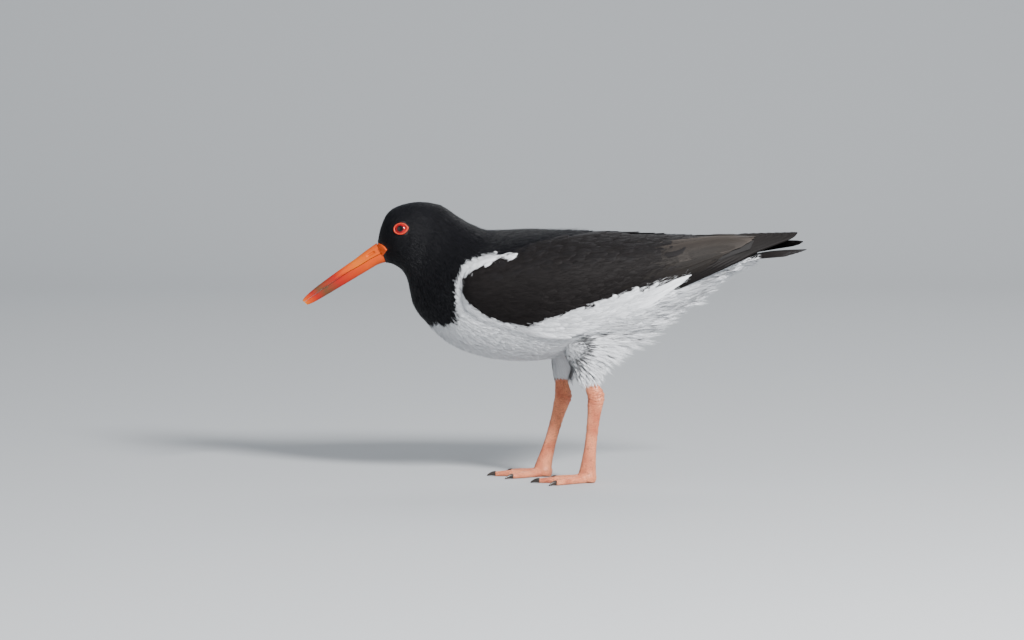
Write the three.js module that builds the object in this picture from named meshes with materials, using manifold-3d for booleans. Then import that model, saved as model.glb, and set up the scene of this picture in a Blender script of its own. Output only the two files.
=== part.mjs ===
// A life-size Eurasian oystercatcher (a black and white wader), standing still with its bill pointing
// forwards and down. Millimetres, +Z up, head towards -X, the bird's left side towards -Y, soles at z = 0.
import * as THREE from "three";
import { mergeVertices } from "three/addons/utils/BufferGeometryUtils.js";
import Module from "manifold-3d";

const wasm = await Module();
wasm.setup();

// Driving sizes
const GAP = 0.35; // clearance between neighbouring pieces
const BLADE = 0.8; // thickness of a flight or tail feather
const REACH = 194; // from the middle of the model to the bill tip, and to the tail tip

// The body is a ruled loft. Each station is one flat section that holds the Y axis' direction: it runs
// from bottom to top in the side view, and is widest at the share "waist" of that height.
const BODY = [
  { at: "bill base", top: [-136.3, 184.4], bottom: [-129.7, 167.5], half: 6.6, waist: 0.5 },
  { at: "lores", top: [-133.6, 195.6], bottom: [-125.1, 166.7], half: 11.5, waist: 0.52 },
  { at: "forehead", top: [-129, 205.2], bottom: [-120.5, 164.4], half: 15.2, waist: 0.54 },
  { at: "brow", top: [-122, 210.6], bottom: [-116.3, 160.9], half: 17.6, waist: 0.56 },
  { at: "crown", top: [-109.7, 214.1], bottom: [-113, 154.4], half: 19, waist: 0.58 },
  { at: "hind crown", top: [-97.4, 214.2], bottom: [-111.2, 145.9], half: 19.6, waist: 0.57 },
  { at: "nape", top: [-85.9, 211], bottom: [-109, 136.8], half: 21.5, waist: 0.54 },
  { at: "upper neck", top: [-75.1, 203.8], bottom: [-104.7, 128.9], half: 25, waist: 0.52 },
  { at: "lower neck", top: [-64.3, 197.3], bottom: [-97.4, 120.6], half: 30.5, waist: 0.5 },
  { at: "shoulder", top: [-52.7, 192.6], bottom: [-86.2, 109.4], half: 36, waist: 0.5 },
  { at: "chest", top: [-37.3, 192.6], bottom: [-68.1, 99.6], half: 41, waist: 0.5 },
  { at: "breast", top: [-15, 193.3], bottom: [-42, 93.4], half: 44, waist: 0.5 },
  { at: "belly", top: [11.9, 191.5], bottom: [-11.2, 93], half: 45, waist: 0.5 },
  { at: "loin", top: [42.7, 187.5], bottom: [23.5, 100], half: 42, waist: 0.5 },
  { at: "flank", top: [73.5, 182.5], bottom: [59.7, 110.5], half: 35, waist: 0.5 },
  { at: "vent", top: [104.3, 178], bottom: [96.6, 134.6], half: 26, waist: 0.5 },
  { at: "rump", top: [131.3, 175.5], bottom: [129, 158.6], half: 17, waist: 0.5 },
  { at: "tail root", top: [155.9, 174.5], bottom: [155.2, 170.2], half: 12, waist: 0.5 },
];
const HEAD_END = 5.5; // station numbers where the body is parted
const NECK_END = 8.5;
const TORSO_END = 16.75;

// The folded wing's outer face, station by station from the bend to the ends of the tertials: the edge
// along the flank, the edge along the back, and how far the face bulges out between the two. The half
// widths are for the left wing's mirror image, so y grows outwards.
const WING = [
  { at: "bend", low: [-71.6, 37.2, 145.5], high: [-71.2, 37, 158], bulge: 1 },
  { at: "wrist", low: [-69.7, 38, 137.8], high: [-65, 37, 165.6], bulge: 5 },
  { at: "shoulder front", low: [-62, 39.5, 130.1], high: [-54.3, 35, 172.5], bulge: 9 },
  { at: "shoulder", low: [-45.8, 40.5, 123.2], high: [-35.8, 32, 178.6], bulge: 13 },
  { at: "fore-arm", low: [-21.2, 41, 116.3], high: [-11.2, 27, 185.6], bulge: 17 },
  { at: "mid-arm", low: [4.2, 38.5, 114], high: [13.5, 20, 190.2], bulge: 22.5 },
  { at: "elbow", low: [35, 35, 120.1], high: [42.7, 12, 191.5], bulge: 24 },
  { at: "tertial roots", low: [65.8, 33, 134.8], high: [73.5, 6, 190], bulge: 20 },
  { at: "tertials", low: [96.6, 28, 154], high: [104.3, 3.6, 188.5], bulge: 12 },
  { at: "tertial bend", low: [125, 22, 170], high: [131.3, 3, 188], bulge: 7 },
  { at: "tertial ends", low: [150, 15, 179.5], high: [156, 2.6, 186.6], bulge: 3 },
];
const WING_DEPTH = 11; // how far the wing's core runs in behind its outer face, before the torso is cut off

// Maths helpers

// The value of a list of numbers, or of equal lists of numbers, at the real index s, on a Catmull-Rom spline.
function along(list, s) {
  const last = list.length - 1;
  const i = Math.min(Math.max(Math.floor(s), 0), last - 1);
  const t = s - i;
  const at = (k) => list[Math.min(Math.max(k, 0), last)];
  const mix = (a, b, c, d) =>
    0.5 * (2 * b + (c - a) * t + (2 * a - 5 * b + 4 * c - d) * t * t + (3 * b - a - 3 * c + d) * t * t * t);
  const [a, b, c, d] = [at(i - 1), at(i), at(i + 1), at(i + 2)];
  return Array.isArray(b) ? b.map((_, k) => mix(a[k], b[k], c[k], d[k])) : mix(a, b, c, d);
}

const vector = (p) => new THREE.Vector3(...p);
const steps = (count) => Array.from({ length: count + 1 }, (_, i) => i / count);

// Solids

// A solid from a list of points and the triangles between them.
function solid(points, triangles) {
  return solidOf(new THREE.BufferGeometry().setFromPoints(points).setIndex(triangles));
}

// A three.js geometry as a solid, with the points along its seams made one.
function solidOf(geometry) {
  geometry.deleteAttribute("normal");
  geometry.deleteAttribute("uv");
  const merged = mergeVertices(geometry, 1e-4);
  return new wasm.Manifold(
    new wasm.Mesh({
      numProp: 3,
      vertProperties: merged.attributes.position.array,
      triVerts: new Uint32Array(merged.index.array),
    }),
  );
}

// Rings of equally many points, one after the other, closed at both ends by a fan.
function loft(rings) {
  const around = rings[0].length;
  const points = rings.flat();
  const triangles = [];
  for (let i = 0; i + 1 < rings.length; i++)
    for (let j = 0; j < around; j++) {
      const k = (j + 1) % around;
      const [a, b, c, d] = [i * around + j, i * around + k, (i + 1) * around + k, (i + 1) * around + j];
      triangles.push(a, b, c, a, c, d);
    }
  for (const [first, turned] of [[0, true], [(rings.length - 1) * around, false]]) {
    const middle = points.length;
    const ring = points.slice(first, first + around);
    points.push(ring.reduce((sum, p) => sum.add(p), new THREE.Vector3()).divideScalar(around));
    for (let j = 0; j < around; j++) {
      const k = (j + 1) % around;
      triangles.push(...(turned ? [middle, first + k, first + j] : [middle, first + j, first + k]));
    }
  }
  const made = solid(points, triangles);
  return made.volume() < 0 ? solid(points, triangles.reverse()) : made;
}

// A sheet between an upper and a lower grid of points, split into triangles alike on both faces.
function plate(upper, lower) {
  const rows = upper.length;
  const columns = upper[0].length;
  const points = [...upper.flat(), ...lower.flat()];
  const under = rows * columns;
  const at = (i, j) => i * columns + j;
  const triangles = [];
  for (let i = 0; i + 1 < rows; i++)
    for (let j = 0; j + 1 < columns; j++) {
      const [a, b, c, d] = [at(i, j), at(i, j + 1), at(i + 1, j + 1), at(i + 1, j)];
      triangles.push(a, b, c, a, c, d);
      triangles.push(under + a, under + c, under + b, under + a, under + d, under + c);
    }
  const rim = [];
  for (let j = 0; j + 1 < columns; j++) rim.push(at(0, j));
  for (let i = 0; i + 1 < rows; i++) rim.push(at(i, columns - 1));
  for (let j = columns - 1; j > 0; j--) rim.push(at(rows - 1, j));
  for (let i = rows - 1; i > 0; i--) rim.push(at(i, 0));
  rim.forEach((a, n) => {
    const b = rim[(n + 1) % rim.length];
    triangles.push(b, a, under + a, b, under + a, under + b);
  });
  const made = solid(points, triangles);
  return made.volume() < 0 ? solid(points, triangles.reverse()) : made;
}

const joined = (pieces) => wasm.Manifold.union(pieces);

// What is left of a solid once its neighbours' grown copies are cut away: its largest closed surface.
function fitted(whole, neighbours) {
  const cut = neighbours.length ? whole.subtract(joined(neighbours)) : whole;
  return cut.decompose().reduce((best, body) => (body.volume() > best.volume() ? body : best));
}

const mirrored = (made) => made.mirror([0, 1, 0]);

// The body

const bodyNumbers = BODY.map((s) => [...s.top, ...s.bottom, s.half, s.waist]);

// A point of the body's skin: station number s, and angle a from the back (0) round the left side.
function bodyPoint(s, a, grow = 0) {
  const [topX, topZ, bottomX, bottomZ, half, waist] = along(bodyNumbers, s);
  const rise = new THREE.Vector3(topX - bottomX, 0, topZ - bottomZ);
  const height = rise.length();
  rise.normalize();
  const c = Math.cos(a);
  const up = waist * height + (c > 0 ? (1 - waist) * height + grow : waist * height + grow) * c;
  return new THREE.Vector3(bottomX, 0, bottomZ)
    .addScaledVector(rise, up)
    .setY(-(half + grow) * Math.sin(a));
}

function bodyLength(from, to, sections, around, grow = 0) {
  const rings = steps(sections).map((t) => {
    const s = from + (to - from) * t;
    return steps(around).slice(0, -1).map((u) => bodyPoint(s, 2 * Math.PI * u, grow));
  });
  return loft(rings);
}

// A body's outward direction, from two short steps along its surface.
function bodyNormal(s, a) {
  const p = bodyPoint(s, a);
  const ahead = bodyPoint(s + 0.01, a).sub(p);
  const round = bodyPoint(s, a + 0.01).sub(p);
  return round.cross(ahead).normalize();
}

// Feathers

// The outline of a feather: shares of its length, each with the share of its greatest width there
const VANE = [[0, 0.6], [0.5, 1], [0.85, 0.82], [1, 0.3]];
const COVERT = [[0, 0.8], [0.78, 1], [1, 0.4]];
const RECTRIX = [[0, 0.65], [0.75, 1], [1, 0.4]];
const LOCK = [[0, 1], [0.6, 0.75], [1, 0.06]];

// A feather as a thin curved sheet: "at" gives the place, the way out and the way across at the share t of
// its length, "rise" the height of its upper face over that place, and "thick" how far down it reaches.
function feather({ at, half, rise, thick, outline = VANE, round = 0, grow = 0 }) {
  const upper = [];
  const lower = [];
  for (const [t, width] of outline) {
    const { place, out, across } = at(t);
    const top = rise(t) + grow;
    const bottom = rise(t) - thick(t) - grow;
    const columns = (round ? [-1, 0, 1] : [-1, 1]).map((side) => {
      const offset = side * (half * width + grow);
      return place.clone().addScaledVector(across, offset).addScaledVector(out, -round * offset * offset);
    });
    upper.push(columns.map((p) => p.clone().addScaledVector(out, top)));
    lower.push(columns.map((p) => p.clone().addScaledVector(out, bottom)));
  }
  return plate(upper, lower);
}

// The frame of a feather that lies on a surface, from one pair of surface numbers to another.
function lieOn(point, normal, from, to) {
  return (t) => {
    const mix = (k) => [from[0] + (to[0] - from[0]) * k, from[1] + (to[1] - from[1]) * k];
    const place = point(...mix(t));
    const ahead = point(...mix(t + 0.02)).sub(point(...mix(t - 0.02))).normalize();
    const out = normal(...mix(t));
    return { place, out, across: ahead.clone().cross(out).normalize() };
  };
}

// The frame of a feather along a free line, with the way out given at its root and its tip.
function lieAlong(line, outRoot, outTip) {
  const curve = new THREE.CatmullRomCurve3(line.map(vector));
  return (t) => {
    const ahead = curve.getTangent(t);
    const out = vector(outRoot).lerp(vector(outTip), t);
    out.addScaledVector(ahead, -out.dot(ahead)).normalize();
    return { place: curve.getPoint(t), out, across: ahead.clone().cross(out).normalize() };
  };
}

// The wing, made as the left one

const wingNumbers = WING.map((s) => [...s.low, ...s.high, s.bulge]);

// A point of the folded wing's outer face: station number u, share v from the flank edge to the back edge.
function wingPoint(u, v) {
  const [lowX, lowY, lowZ, highX, highY, highZ, bulge] = along(wingNumbers, u);
  const out = new THREE.Vector3(0, highZ - lowZ, lowY - highY).normalize();
  const p = new THREE.Vector3(lowX, lowY, lowZ).lerp(new THREE.Vector3(highX, highY, highZ), v);
  return p.addScaledVector(out, 4 * bulge * v * (1 - v) * (1 + 0.25 * (v - 0.5))).multiply(new THREE.Vector3(1, -1, 1));
}

function wingNormal(u, v) {
  const ahead = wingPoint(u + 0.02, v).sub(wingPoint(u - 0.02, v));
  const up = wingPoint(u, v + 0.01).sub(wingPoint(u, v - 0.01));
  return ahead.cross(up).normalize();
}

const WING_LAST = WING.length - 1;

function wingCore(grow = 0) {
  const rings = steps(13).map((t) => {
    const u = WING_LAST * t;
    const outer = steps(7).map((v) => wingPoint(u, v).addScaledVector(wingNormal(u, v), grow));
    const inner = steps(3).reverse().map((v) => {
      const depth = Math.min(WING_DEPTH, 2 + 0.5 * along(wingNumbers, u)[6]) * (0.35 + 2.6 * v * (1 - v));
      return wingPoint(u, v).addScaledVector(wingNormal(u, v), -depth - grow);
    });
    return [...outer, ...inner];
  });
  return loft(rings);
}

// One row of feathers on the wing: "count" of them, with roots and tips on two lines of surface numbers.
function wingRow({ count, roots, tips, half, lift }, grow) {
  return steps(count - 1).map((k) => {
    const from = along(roots, k * (roots.length - 1));
    const to = along(tips, k * (tips.length - 1));
    return feather({
      at: lieOn(wingPoint, wingNormal, from, to),
      half: Array.isArray(half) ? along(half, k * (half.length - 1)) : half,
      rise: (t) => -0.5 + (lift + 0.5) * t,
      thick: (t) => 1.6 + 0.6 * t,
      outline: COVERT,
      grow,
    });
  });
}

// Tiers of the folded wing, from the scapulars over the coverts to the long tertials.
const WING_TIERS = [
  { name: "lesser coverts", count: 4, roots: [[1.2, 0.35], [3.0, 0.75]], tips: [[2.4, 0.2], [4.3, 0.68]], half: 9.5, lift: 0.7 },
  { name: "median coverts", count: 4, roots: [[2.4, 0.16], [5.2, 0.7]], tips: [[3.9, 0.1], [6.6, 0.62]], half: 11, lift: 1 },
  { name: "greater coverts", count: 5, roots: [[3.6, 0.12], [6.4, 0.52]], tips: [[5.2, 0.0], [8.1, 0.4]], half: 11, lift: 1.2 },
  { name: "wing bar", count: 4, roots: [[5.0, 0.08], [6.9, 0.2]], tips: [[6.2, -0.02], [8.4, 0.06]], half: 8.5, lift: 1 },
  { name: "scapulars", count: 5, roots: [[3.0, 0.88], [6.0, 0.92]], tips: [[4.6, 0.78], [7.9, 0.8]], half: 10, lift: 1.3 },
  { name: "tertials", count: 4, roots: [[7.0, 0.35], [7.0, 0.9]], tips: [[9.0, 0.12], [9.98, 0.62]], half: [7.5, 7.5, 6.5, 5.5], lift: 1.1 },
];

function wing(grow = 0) {
  return joined([wingCore(grow), ...WING_TIERS.flatMap((tier) => wingRow(tier, grow))]);
}

// The folded primaries show as a stack below the tertials and cross over the tail, with the left wing's
// tips over the right wing's. The line is that of the longest one, with y outwards.
const HANDS = {
  left: { line: [[82.8, 33.5, 149.4], [112, 27, 162.5], [139, 17.5, 174.8], [155.9, 10.5, 182.2], [186.7, 2, 191.2]] },
  right: { line: [[82.8, 33.5, 149.4], [112, 27, 162.5], [139, 17, 174.2], [155.9, 10.5, 179.6], [191.3, 3, 184]] },
};
const PRIMARIES = 5;
const PRIMARY_STEP = [-8.5, 0.5, -0.2]; // from one primary's tip to the next shorter one's
const PRIMARY_ROOT_STEP = [-1, 0.5, 1.3];

function hand({ line }, grow = 0) {
  const vanes = steps(PRIMARIES - 1).map((_, k) => {
    const moved = line.map((p, i) => {
      const t = i / (line.length - 1);
      return p.map((value, n) => value + k * (PRIMARY_ROOT_STEP[n] * (1 - t) + PRIMARY_STEP[n] * t));
    });
    return feather({
      at: lieAlong(moved, [0, 0.95, 0.3], [0, 0.62, 0.78]),
      half: 6,
      rise: () => 0,
      thick: (t) => 2.2 - 1.3 * t,
      round: 0.01,
      grow,
    });
  });
  return mirrored(joined(vanes));
}

// The tail: flight feathers that overlap from the middle pair outwards, in a low arch
const RECTRICES = 12;

function tail(grow = 0) {
  const block = bodyLength(TORSO_END + stationGap(TORSO_END) - grow / 20, BODY.length - 1, 2, 16, grow);
  const vanes = steps(RECTRICES - 1).map((_, n) => {
    const i = n - (RECTRICES - 1) / 2;
    const arch = 0.13 * i * i;
    const line = [
      [151, 1.3 * i, 173.8 - 0.6 * arch],
      [168, 1.9 * i, 176.8 - 0.9 * arch],
      [REACH - 0.22 * i * i, 2.3 * i, 178.2 - arch],
    ];
    return feather({
      at: lieAlong(line, [0, 0.03 * i, 1], [0, 0.05 * i, 1]),
      half: 7.5,
      rise: () => 0,
      thick: () => BLADE,
      outline: RECTRIX,
      grow,
    });
  });
  return joined([block, ...vanes]);
}

// The loose feathers of the vent and thighs, as flat pointed locks
function tuft(point, normal, from, to, half, rise) {
  return feather({
    at: lieOn(point, normal, from, to),
    half,
    rise: (t) => -1.5 + (rise + 1.5) * t,
    thick: (t) => 2.6 - 1.8 * t,
    outline: LOCK,
  });
}

function ventTufts() {
  const rows = [12.9, 13.6, 14.3, 15, 15.7];
  return rows.flatMap((s, row) => {
    const angles = row % 2 ? [120, 148, 180, 212, 240] : [132, 164, 196, 228];
    return angles.map((degrees) => {
      const a = THREE.MathUtils.degToRad(degrees);
      return tuft(bodyPoint, bodyNormal, [s, a], [s + 0.95, a], 6.5 - 0.6 * row, 6.5 - 0.7 * row);
    });
  });
}

// Limbs: rings round a line of stations, each [x, y, z, radius fore and aft, radius across]
function limb(stations, sections, around, grow = 0) {
  const last = stations.length - 1;
  const place = (s) => along(stations, s);
  const rings = steps(sections).map((t) => {
    const s = last * t;
    const [x, y, z, fore, across] = place(s);
    const ahead = vector(place(Math.min(s + 0.05, last)).slice(0, 3))
      .sub(vector(place(Math.max(s - 0.05, 0)).slice(0, 3)))
      .normalize();
    const side = new THREE.Vector3(0, 1, 0).addScaledVector(ahead, -ahead.y).normalize();
    const front = ahead.clone().cross(side);
    return steps(around).slice(0, -1).map((u) =>
      new THREE.Vector3(x, y, z)
        .addScaledVector(front, (fore + grow) * Math.cos(2 * Math.PI * u))
        .addScaledVector(side, (across + grow) * Math.sin(2 * Math.PI * u)),
    );
  });
  return loft(rings);
}

// Where each leg stands. y is outwards for both legs, and "side" is -1 on the bird's left.
const LEGS = {
  left: {
    side: -1,
    thigh: [[23.5, 20, 113, 17, 13], [21.5, 20.5, 101.3, 14.5, 11], [22, 21, 93.6, 10.5, 8.5], [24.3, 21.5, 86.6, 7.3, 6.2], [26, 22, 80, 5.2, 4.8]],
    knee: [26.2, 22, 79.6],
    ankle: [31.8, 22, 66.5],
    foot: [25.4, 22, 8.6],
  },
  right: {
    side: 1,
    thigh: [[7, 20, 112, 13, 12], [5.8, 20.5, 101, 10, 10], [5.8, 21, 92.8, 8, 8], [5.6, 21.5, 85, 6.6, 6.2], [5.2, 22, 77.4, 5, 4.8]],
    knee: [5.2, 22, 77],
    ankle: [7, 22, 62.5],
    foot: [-8.2, 22, 8.6],
  },
};
// The bare leg's girth at shares of the way from knee to ankle (0 to 1) and on from ankle to foot (1 to 2)
const SHANK = [
  [0, 4.4, 3.5], [0.55, 5.7, 4.2], [1, 6.5, 4.9], [1.12, 5.7, 4.4], [1.28, 4.7, 3.5],
  [1.6, 4.3, 3.2], [1.8, 4.9, 3.8], [2, 6.2, 4.9],
];

function shank({ knee, ankle, foot }, grow = 0) {
  const stations = SHANK.map(([t, fore, across]) => {
    const p = t < 1 ? vector(knee).lerp(vector(ankle), t) : vector(ankle).lerp(vector(foot), t - 1);
    return [p.x, p.y, p.z, fore, across];
  });
  return limb(stations, 14, 10, grow);
}

function thigh({ thigh: stations }, grow = 0) {
  return limb(stations, 7, 14, grow);
}

// The thigh's hem of feather tips, round the knee
function hem({ thigh: stations }) {
  const skin = (s, a) => {
    const [x, y, z, fore, across] = along(stations, s);
    return new THREE.Vector3(x + fore * Math.cos(a), y + across * Math.sin(a), z);
  };
  const out = (s, a) => new THREE.Vector3(Math.cos(a), Math.sin(a), -0.2).normalize();
  return [-50, 0, 50, 105, 160, 215, 260].map((degrees, n) => {
    const a = THREE.MathUtils.degToRad(degrees);
    const start = 2.1 + 0.3 * (n % 2);
    return tuft(skin, out, [start, a], [start + 1.25, a], 3, degrees < 90 ? 3 : 1);
  });
}

// Feet: three forward toes and no hind toe, flat underneath
const TOES = [
  { name: "inner", turn: 36, length: 29 },
  { name: "middle", turn: -3, length: 36.5 },
  { name: "outer", turn: -40, length: 31 },
];
const TOE_GIRTH = [[4.4, 8], [3.9, 6.6], [3.3, 5.5], [3.1, 5], [2.6, 4.4], [1.9, 3.6]]; // half width, height
const CLAW = { length: 6, half: 1.5, tip: 0.35 };

// A flat-soled ring across the direction "ahead"
function soledRing(centre, ahead, half, height) {
  const side = new THREE.Vector3(-ahead.y, ahead.x, 0);
  const outline = [[0.6, 0], [1, 0.36], [0.82, 0.78], [0.34, 1], [-0.34, 1], [-0.82, 0.78], [-1, 0.36], [-0.6, 0]];
  return outline.map(([across, up]) => centre.clone().addScaledVector(side, half * across).setZ(height * up));
}

function toeDirection({ side }, turn) {
  const a = THREE.MathUtils.degToRad(turn) * side;
  return new THREE.Vector3(-Math.cos(a), Math.sin(a) * side, 0);
}

function footStart({ foot }) {
  return new THREE.Vector3(foot[0] - 1, foot[1], 0);
}

function foot(leg) {
  const start = footStart(leg);
  const toes = TOES.map(({ turn, length }) => {
    const ahead = toeDirection(leg, turn);
    return loft(steps(6).map((t) => {
      const [half, height] = along(TOE_GIRTH, t * (TOE_GIRTH.length - 1));
      return soledRing(start.clone().addScaledVector(ahead, length * t), ahead, half, height);
    }));
  });
  const back = toeDirection(leg, 180);
  const heel = loft([0, 0.5, 1].map((t) =>
    soledRing(start.clone().addScaledVector(back, -3 + 9.5 * t), back, 5 - 1.8 * t, 8 - 3 * t)));
  const [x, y, z] = leg.foot;
  const [, fore, across] = SHANK[SHANK.length - 1];
  const instep = limb([[x, y, z, fore, across], [x, y, 5, 7, 5.6], [x, y, 1.5, 6.8, 5.4]], 3, 10);
  const web = (a, b, reach) => {
    const tips = [a, b].map((k) => toeDirection(leg, TOES[k].turn).multiplyScalar(reach).add(start));
    const upper = [[start, start.clone().add(new THREE.Vector3(0.1, 0.1, 0))], tips].map((row) => row.map((p) => p.clone().setZ(2.6)));
    return plate(upper, upper.map((row) => row.map((p) => p.clone().setZ(1.2))));
  };
  return fitted(joined([...toes, heel, instep, web(1, 2, 15), web(0, 1, 10)]), [shank(leg, GAP)]);
}

function claw(leg, { turn, length }) {
  const ahead = toeDirection(leg, turn);
  const start = footStart(leg).addScaledVector(ahead, length + GAP);
  return loft(steps(3).map((t) => {
    const half = CLAW.half + (CLAW.tip - CLAW.half) * t;
    const lift = 0.35 * (1 - t);
    return soledRing(start.clone().addScaledVector(ahead, CLAW.length * t), ahead, half, 2 * half + 0.4)
      .map((p) => p.setZ(p.z + lift));
  }));
}

// The bill: culmen, mouth line and underside in the side view, and the half width there
const BILL = [
  { top: [-137.1, 182.8], mouth: [-131.3, 176.3], bottom: [-129.7, 168.2], half: 6.3 },
  { top: [-145.1, 177.1], mouth: [-140.9, 171.3], bottom: [-135.9, 166.3], half: 5.3 },
  { top: [-153.6, 170.6], mouth: [-149.4, 166.1], bottom: [-144.8, 161.1], half: 4.3 },
  { top: [-163.6, 163.6], mouth: [-160.2, 159.9], bottom: [-155.9, 154.5], half: 3.6 },
  { top: [-174.4, 155.8], mouth: [-170.6, 152.8], bottom: [-167.1, 147.8], half: 3 },
  { top: [-184.4, 148.2], mouth: [-181.3, 145.5], bottom: [-177.9, 141.4], half: 2.4 },
  { top: [-191.3, 142.1], mouth: [-189, 140.1], bottom: [-185.6, 137.1], half: 1.8 },
  { top: [-REACH, 138.6], mouth: [-192.5, 137.4], bottom: [-190.2, 135.3], half: 1.2 },
];
const NOSTRIL = { at: [-142.6, 5.1, 174.2], reach: [3.3, 1.3, 0.65] };

// One half of the bill, from the mouth line to the edge named
function mandible(edge) {
  const numbers = BILL.map((s) => [...s.mouth, ...s[edge], s.half]);
  const rings = steps(14).map((t) => {
    const [mouthX, mouthZ, edgeX, edgeZ, half] = along(numbers, t * (BILL.length - 1));
    const mouth = new THREE.Vector3(mouthX, 0, mouthZ);
    const rise = new THREE.Vector3(edgeX, 0, edgeZ).sub(mouth);
    const height = rise.length();
    rise.normalize();
    return steps(8).map((u) => {
      const a = Math.PI * u;
      const up = GAP / 2 + (height - GAP / 2) * Math.sin(a) ** 0.85;
      return mouth.clone().addScaledVector(rise, up).setY(half * Math.cos(a));
    });
  });
  return loft(rings);
}

function billDirection() {
  const [root, tip] = [BILL[0].mouth, BILL[BILL.length - 1].mouth];
  return Math.atan2(tip[1] - root[1], tip[0] - root[0]);
}

function nostril(side) {
  const slit = new THREE.SphereGeometry(1, 10, 6);
  slit.scale(...NOSTRIL.reach);
  slit.rotateY(-billDirection());
  slit.translate(NOSTRIL.at[0], side * NOSTRIL.at[1], NOSTRIL.at[2]);
  return solidOf(slit);
}

// The eyes, each a ball set in a fleshy ring
const EYE = { at: [-118.2, 195.2], radius: 5.4, sunk: 4.3 };
const EYE_RING = { radius: 4.6, tube: 0.8, long: 1.12, tall: 0.96, tilt: 8, sunk: 0.3 };

// The place on the head's left side at the eye, and the way out of it
function eyeSeat() {
  const look = { s: 3, a: Math.PI / 3 };
  for (let n = 0; n < 40; n++) {
    const p = bodyPoint(look.s, look.a);
    look.s += (EYE.at[0] - p.x) * 0.04;
    look.a -= (EYE.at[1] - p.z) * 0.02;
  }
  return { place: bodyPoint(look.s, look.a), out: bodyNormal(look.s, look.a) };
}

function eyeball(grow = 0) {
  const { place, out } = eyeSeat();
  const ball = new THREE.SphereGeometry(EYE.radius + grow, 14, 10);
  ball.translate(...place.addScaledVector(out, -EYE.sunk).toArray());
  return solidOf(ball);
}

function eyeRing(grow = 0) {
  const { place, out } = eyeSeat();
  const ring = new THREE.TorusGeometry(EYE_RING.radius, EYE_RING.tube + grow, 6, 18);
  ring.scale(EYE_RING.long, EYE_RING.tall, 1);
  ring.rotateZ(THREE.MathUtils.degToRad(EYE_RING.tilt));
  const turn = new THREE.Matrix4().lookAt(out, new THREE.Vector3(), new THREE.Vector3(0, 0, 1));
  ring.applyMatrix4(turn);
  ring.translate(...place.addScaledVector(out, -EYE_RING.sunk).toArray());
  return solidOf(ring);
}

// How many station numbers make up the gap at a cut through the body
function stationGap(s) {
  const pace = (a) => bodyPoint(s + 0.05, a).distanceTo(bodyPoint(s - 0.05, a)) / 0.1;
  return GAP / Math.min(pace(0), pace(Math.PI));
}

// Everything in its place, each piece cut clear of what it grows from

const torsoCore = (grow = 0) => bodyLength(NECK_END + stationGap(NECK_END), TORSO_END, 14, 24, grow);
const neckCore = (grow = 0) => bodyLength(HEAD_END + stationGap(HEAD_END), NECK_END, 4, 24, grow);
const headCore = (grow = 0) => bodyLength(0, HEAD_END, 10, 24, grow);

const tailSolid = fitted(tail(), [torsoCore(GAP)]);
const handLeft = fitted(hand(HANDS.left), [torsoCore(GAP), tail(GAP)]);
const handRight = fitted(mirrored(hand(HANDS.right)), [torsoCore(GAP), tail(GAP), hand(HANDS.left, GAP)]);

const LARGE = 1000;
function leftHalf() {
  const box = new THREE.BoxGeometry(LARGE, LARGE, LARGE);
  box.translate(0, -LARGE / 2 - GAP / 2, 0);
  return solidOf(box);
}

function fittedWing(handGrown) {
  const bare = wing().intersect(leftHalf());
  return fitted(bare, [torsoCore(GAP), neckCore(GAP), tail(GAP), handGrown]);
}

const wingLeft = fittedWing(hand(HANDS.left, GAP));
const wingRight = mirrored(fittedWing(hand(HANDS.right, GAP)));

const outwards = (made, side) => (side < 0 ? mirrored(made) : made);
const thighSolid = (leg) => {
  const whole = joined([thigh(leg), ...hem(leg)]);
  return fitted(outwards(whole, leg.side), [torsoCore(GAP), wing(GAP), mirrored(wing(GAP)), outwards(shank(leg, GAP), leg.side)]);
};

const torso = fitted(
  torsoCore().add(
    joined(ventTufts()).subtract(
      joined([
        wing(GAP), mirrored(wing(GAP)), hand(HANDS.left, GAP), mirrored(hand(HANDS.right, GAP)), tail(GAP),
        ...Object.values(LEGS).map((leg) => outwards(thigh(leg, GAP), leg.side)),
      ]),
    ),
  ),
  [],
);

const eye = { left: eyeball(), right: mirrored(eyeball()) };
const eyeRings = { left: fitted(eyeRing(), [eyeball(GAP)]) };
eyeRings.right = mirrored(eyeRings.left);
const sockets = [eyeball(GAP), eyeRing(GAP)].flatMap((made) => [made, mirrored(made)]);
const head = fitted(headCore(), sockets);
const upper = fitted(mandible("top"), [headCore(GAP), nostril(-1), nostril(1)]);
const lower = fitted(mandible("bottom"), [headCore(GAP)]);

const BLACK = { color: 0x1b1a1c, roughness: 0.7 };
const WHITE = { color: 0xe9eaec, roughness: 0.85 };
const BILL_RED = { color: 0xe8501a, roughness: 0.4 };
const LEG_PINK = { color: 0xd98a6c, roughness: 0.55 };
const CLAW_BLACK = { color: 0x1c1613, roughness: 0.5 };
const EYE_RED = { color: 0x9c0f12, roughness: 0.1 };
const RING_ORANGE = { color: 0xe8562a, roughness: 0.5 };

const group = new THREE.Group();

function place(name, made, look) {
  const { numProp, vertProperties, triVerts } = made.getMesh();
  const points = Array.from({ length: vertProperties.length / numProp }, (_, i) => vector(vertProperties.subarray(i * numProp, i * numProp + 3)));
  const geometry = new THREE.BufferGeometry().setFromPoints(points).setIndex([...triVerts]);
  geometry.computeVertexNormals();
  const mesh = new THREE.Mesh(geometry, new THREE.MeshStandardMaterial({ ...look, metalness: 0 }));
  mesh.name = name;
  group.add(mesh);
}

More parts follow.
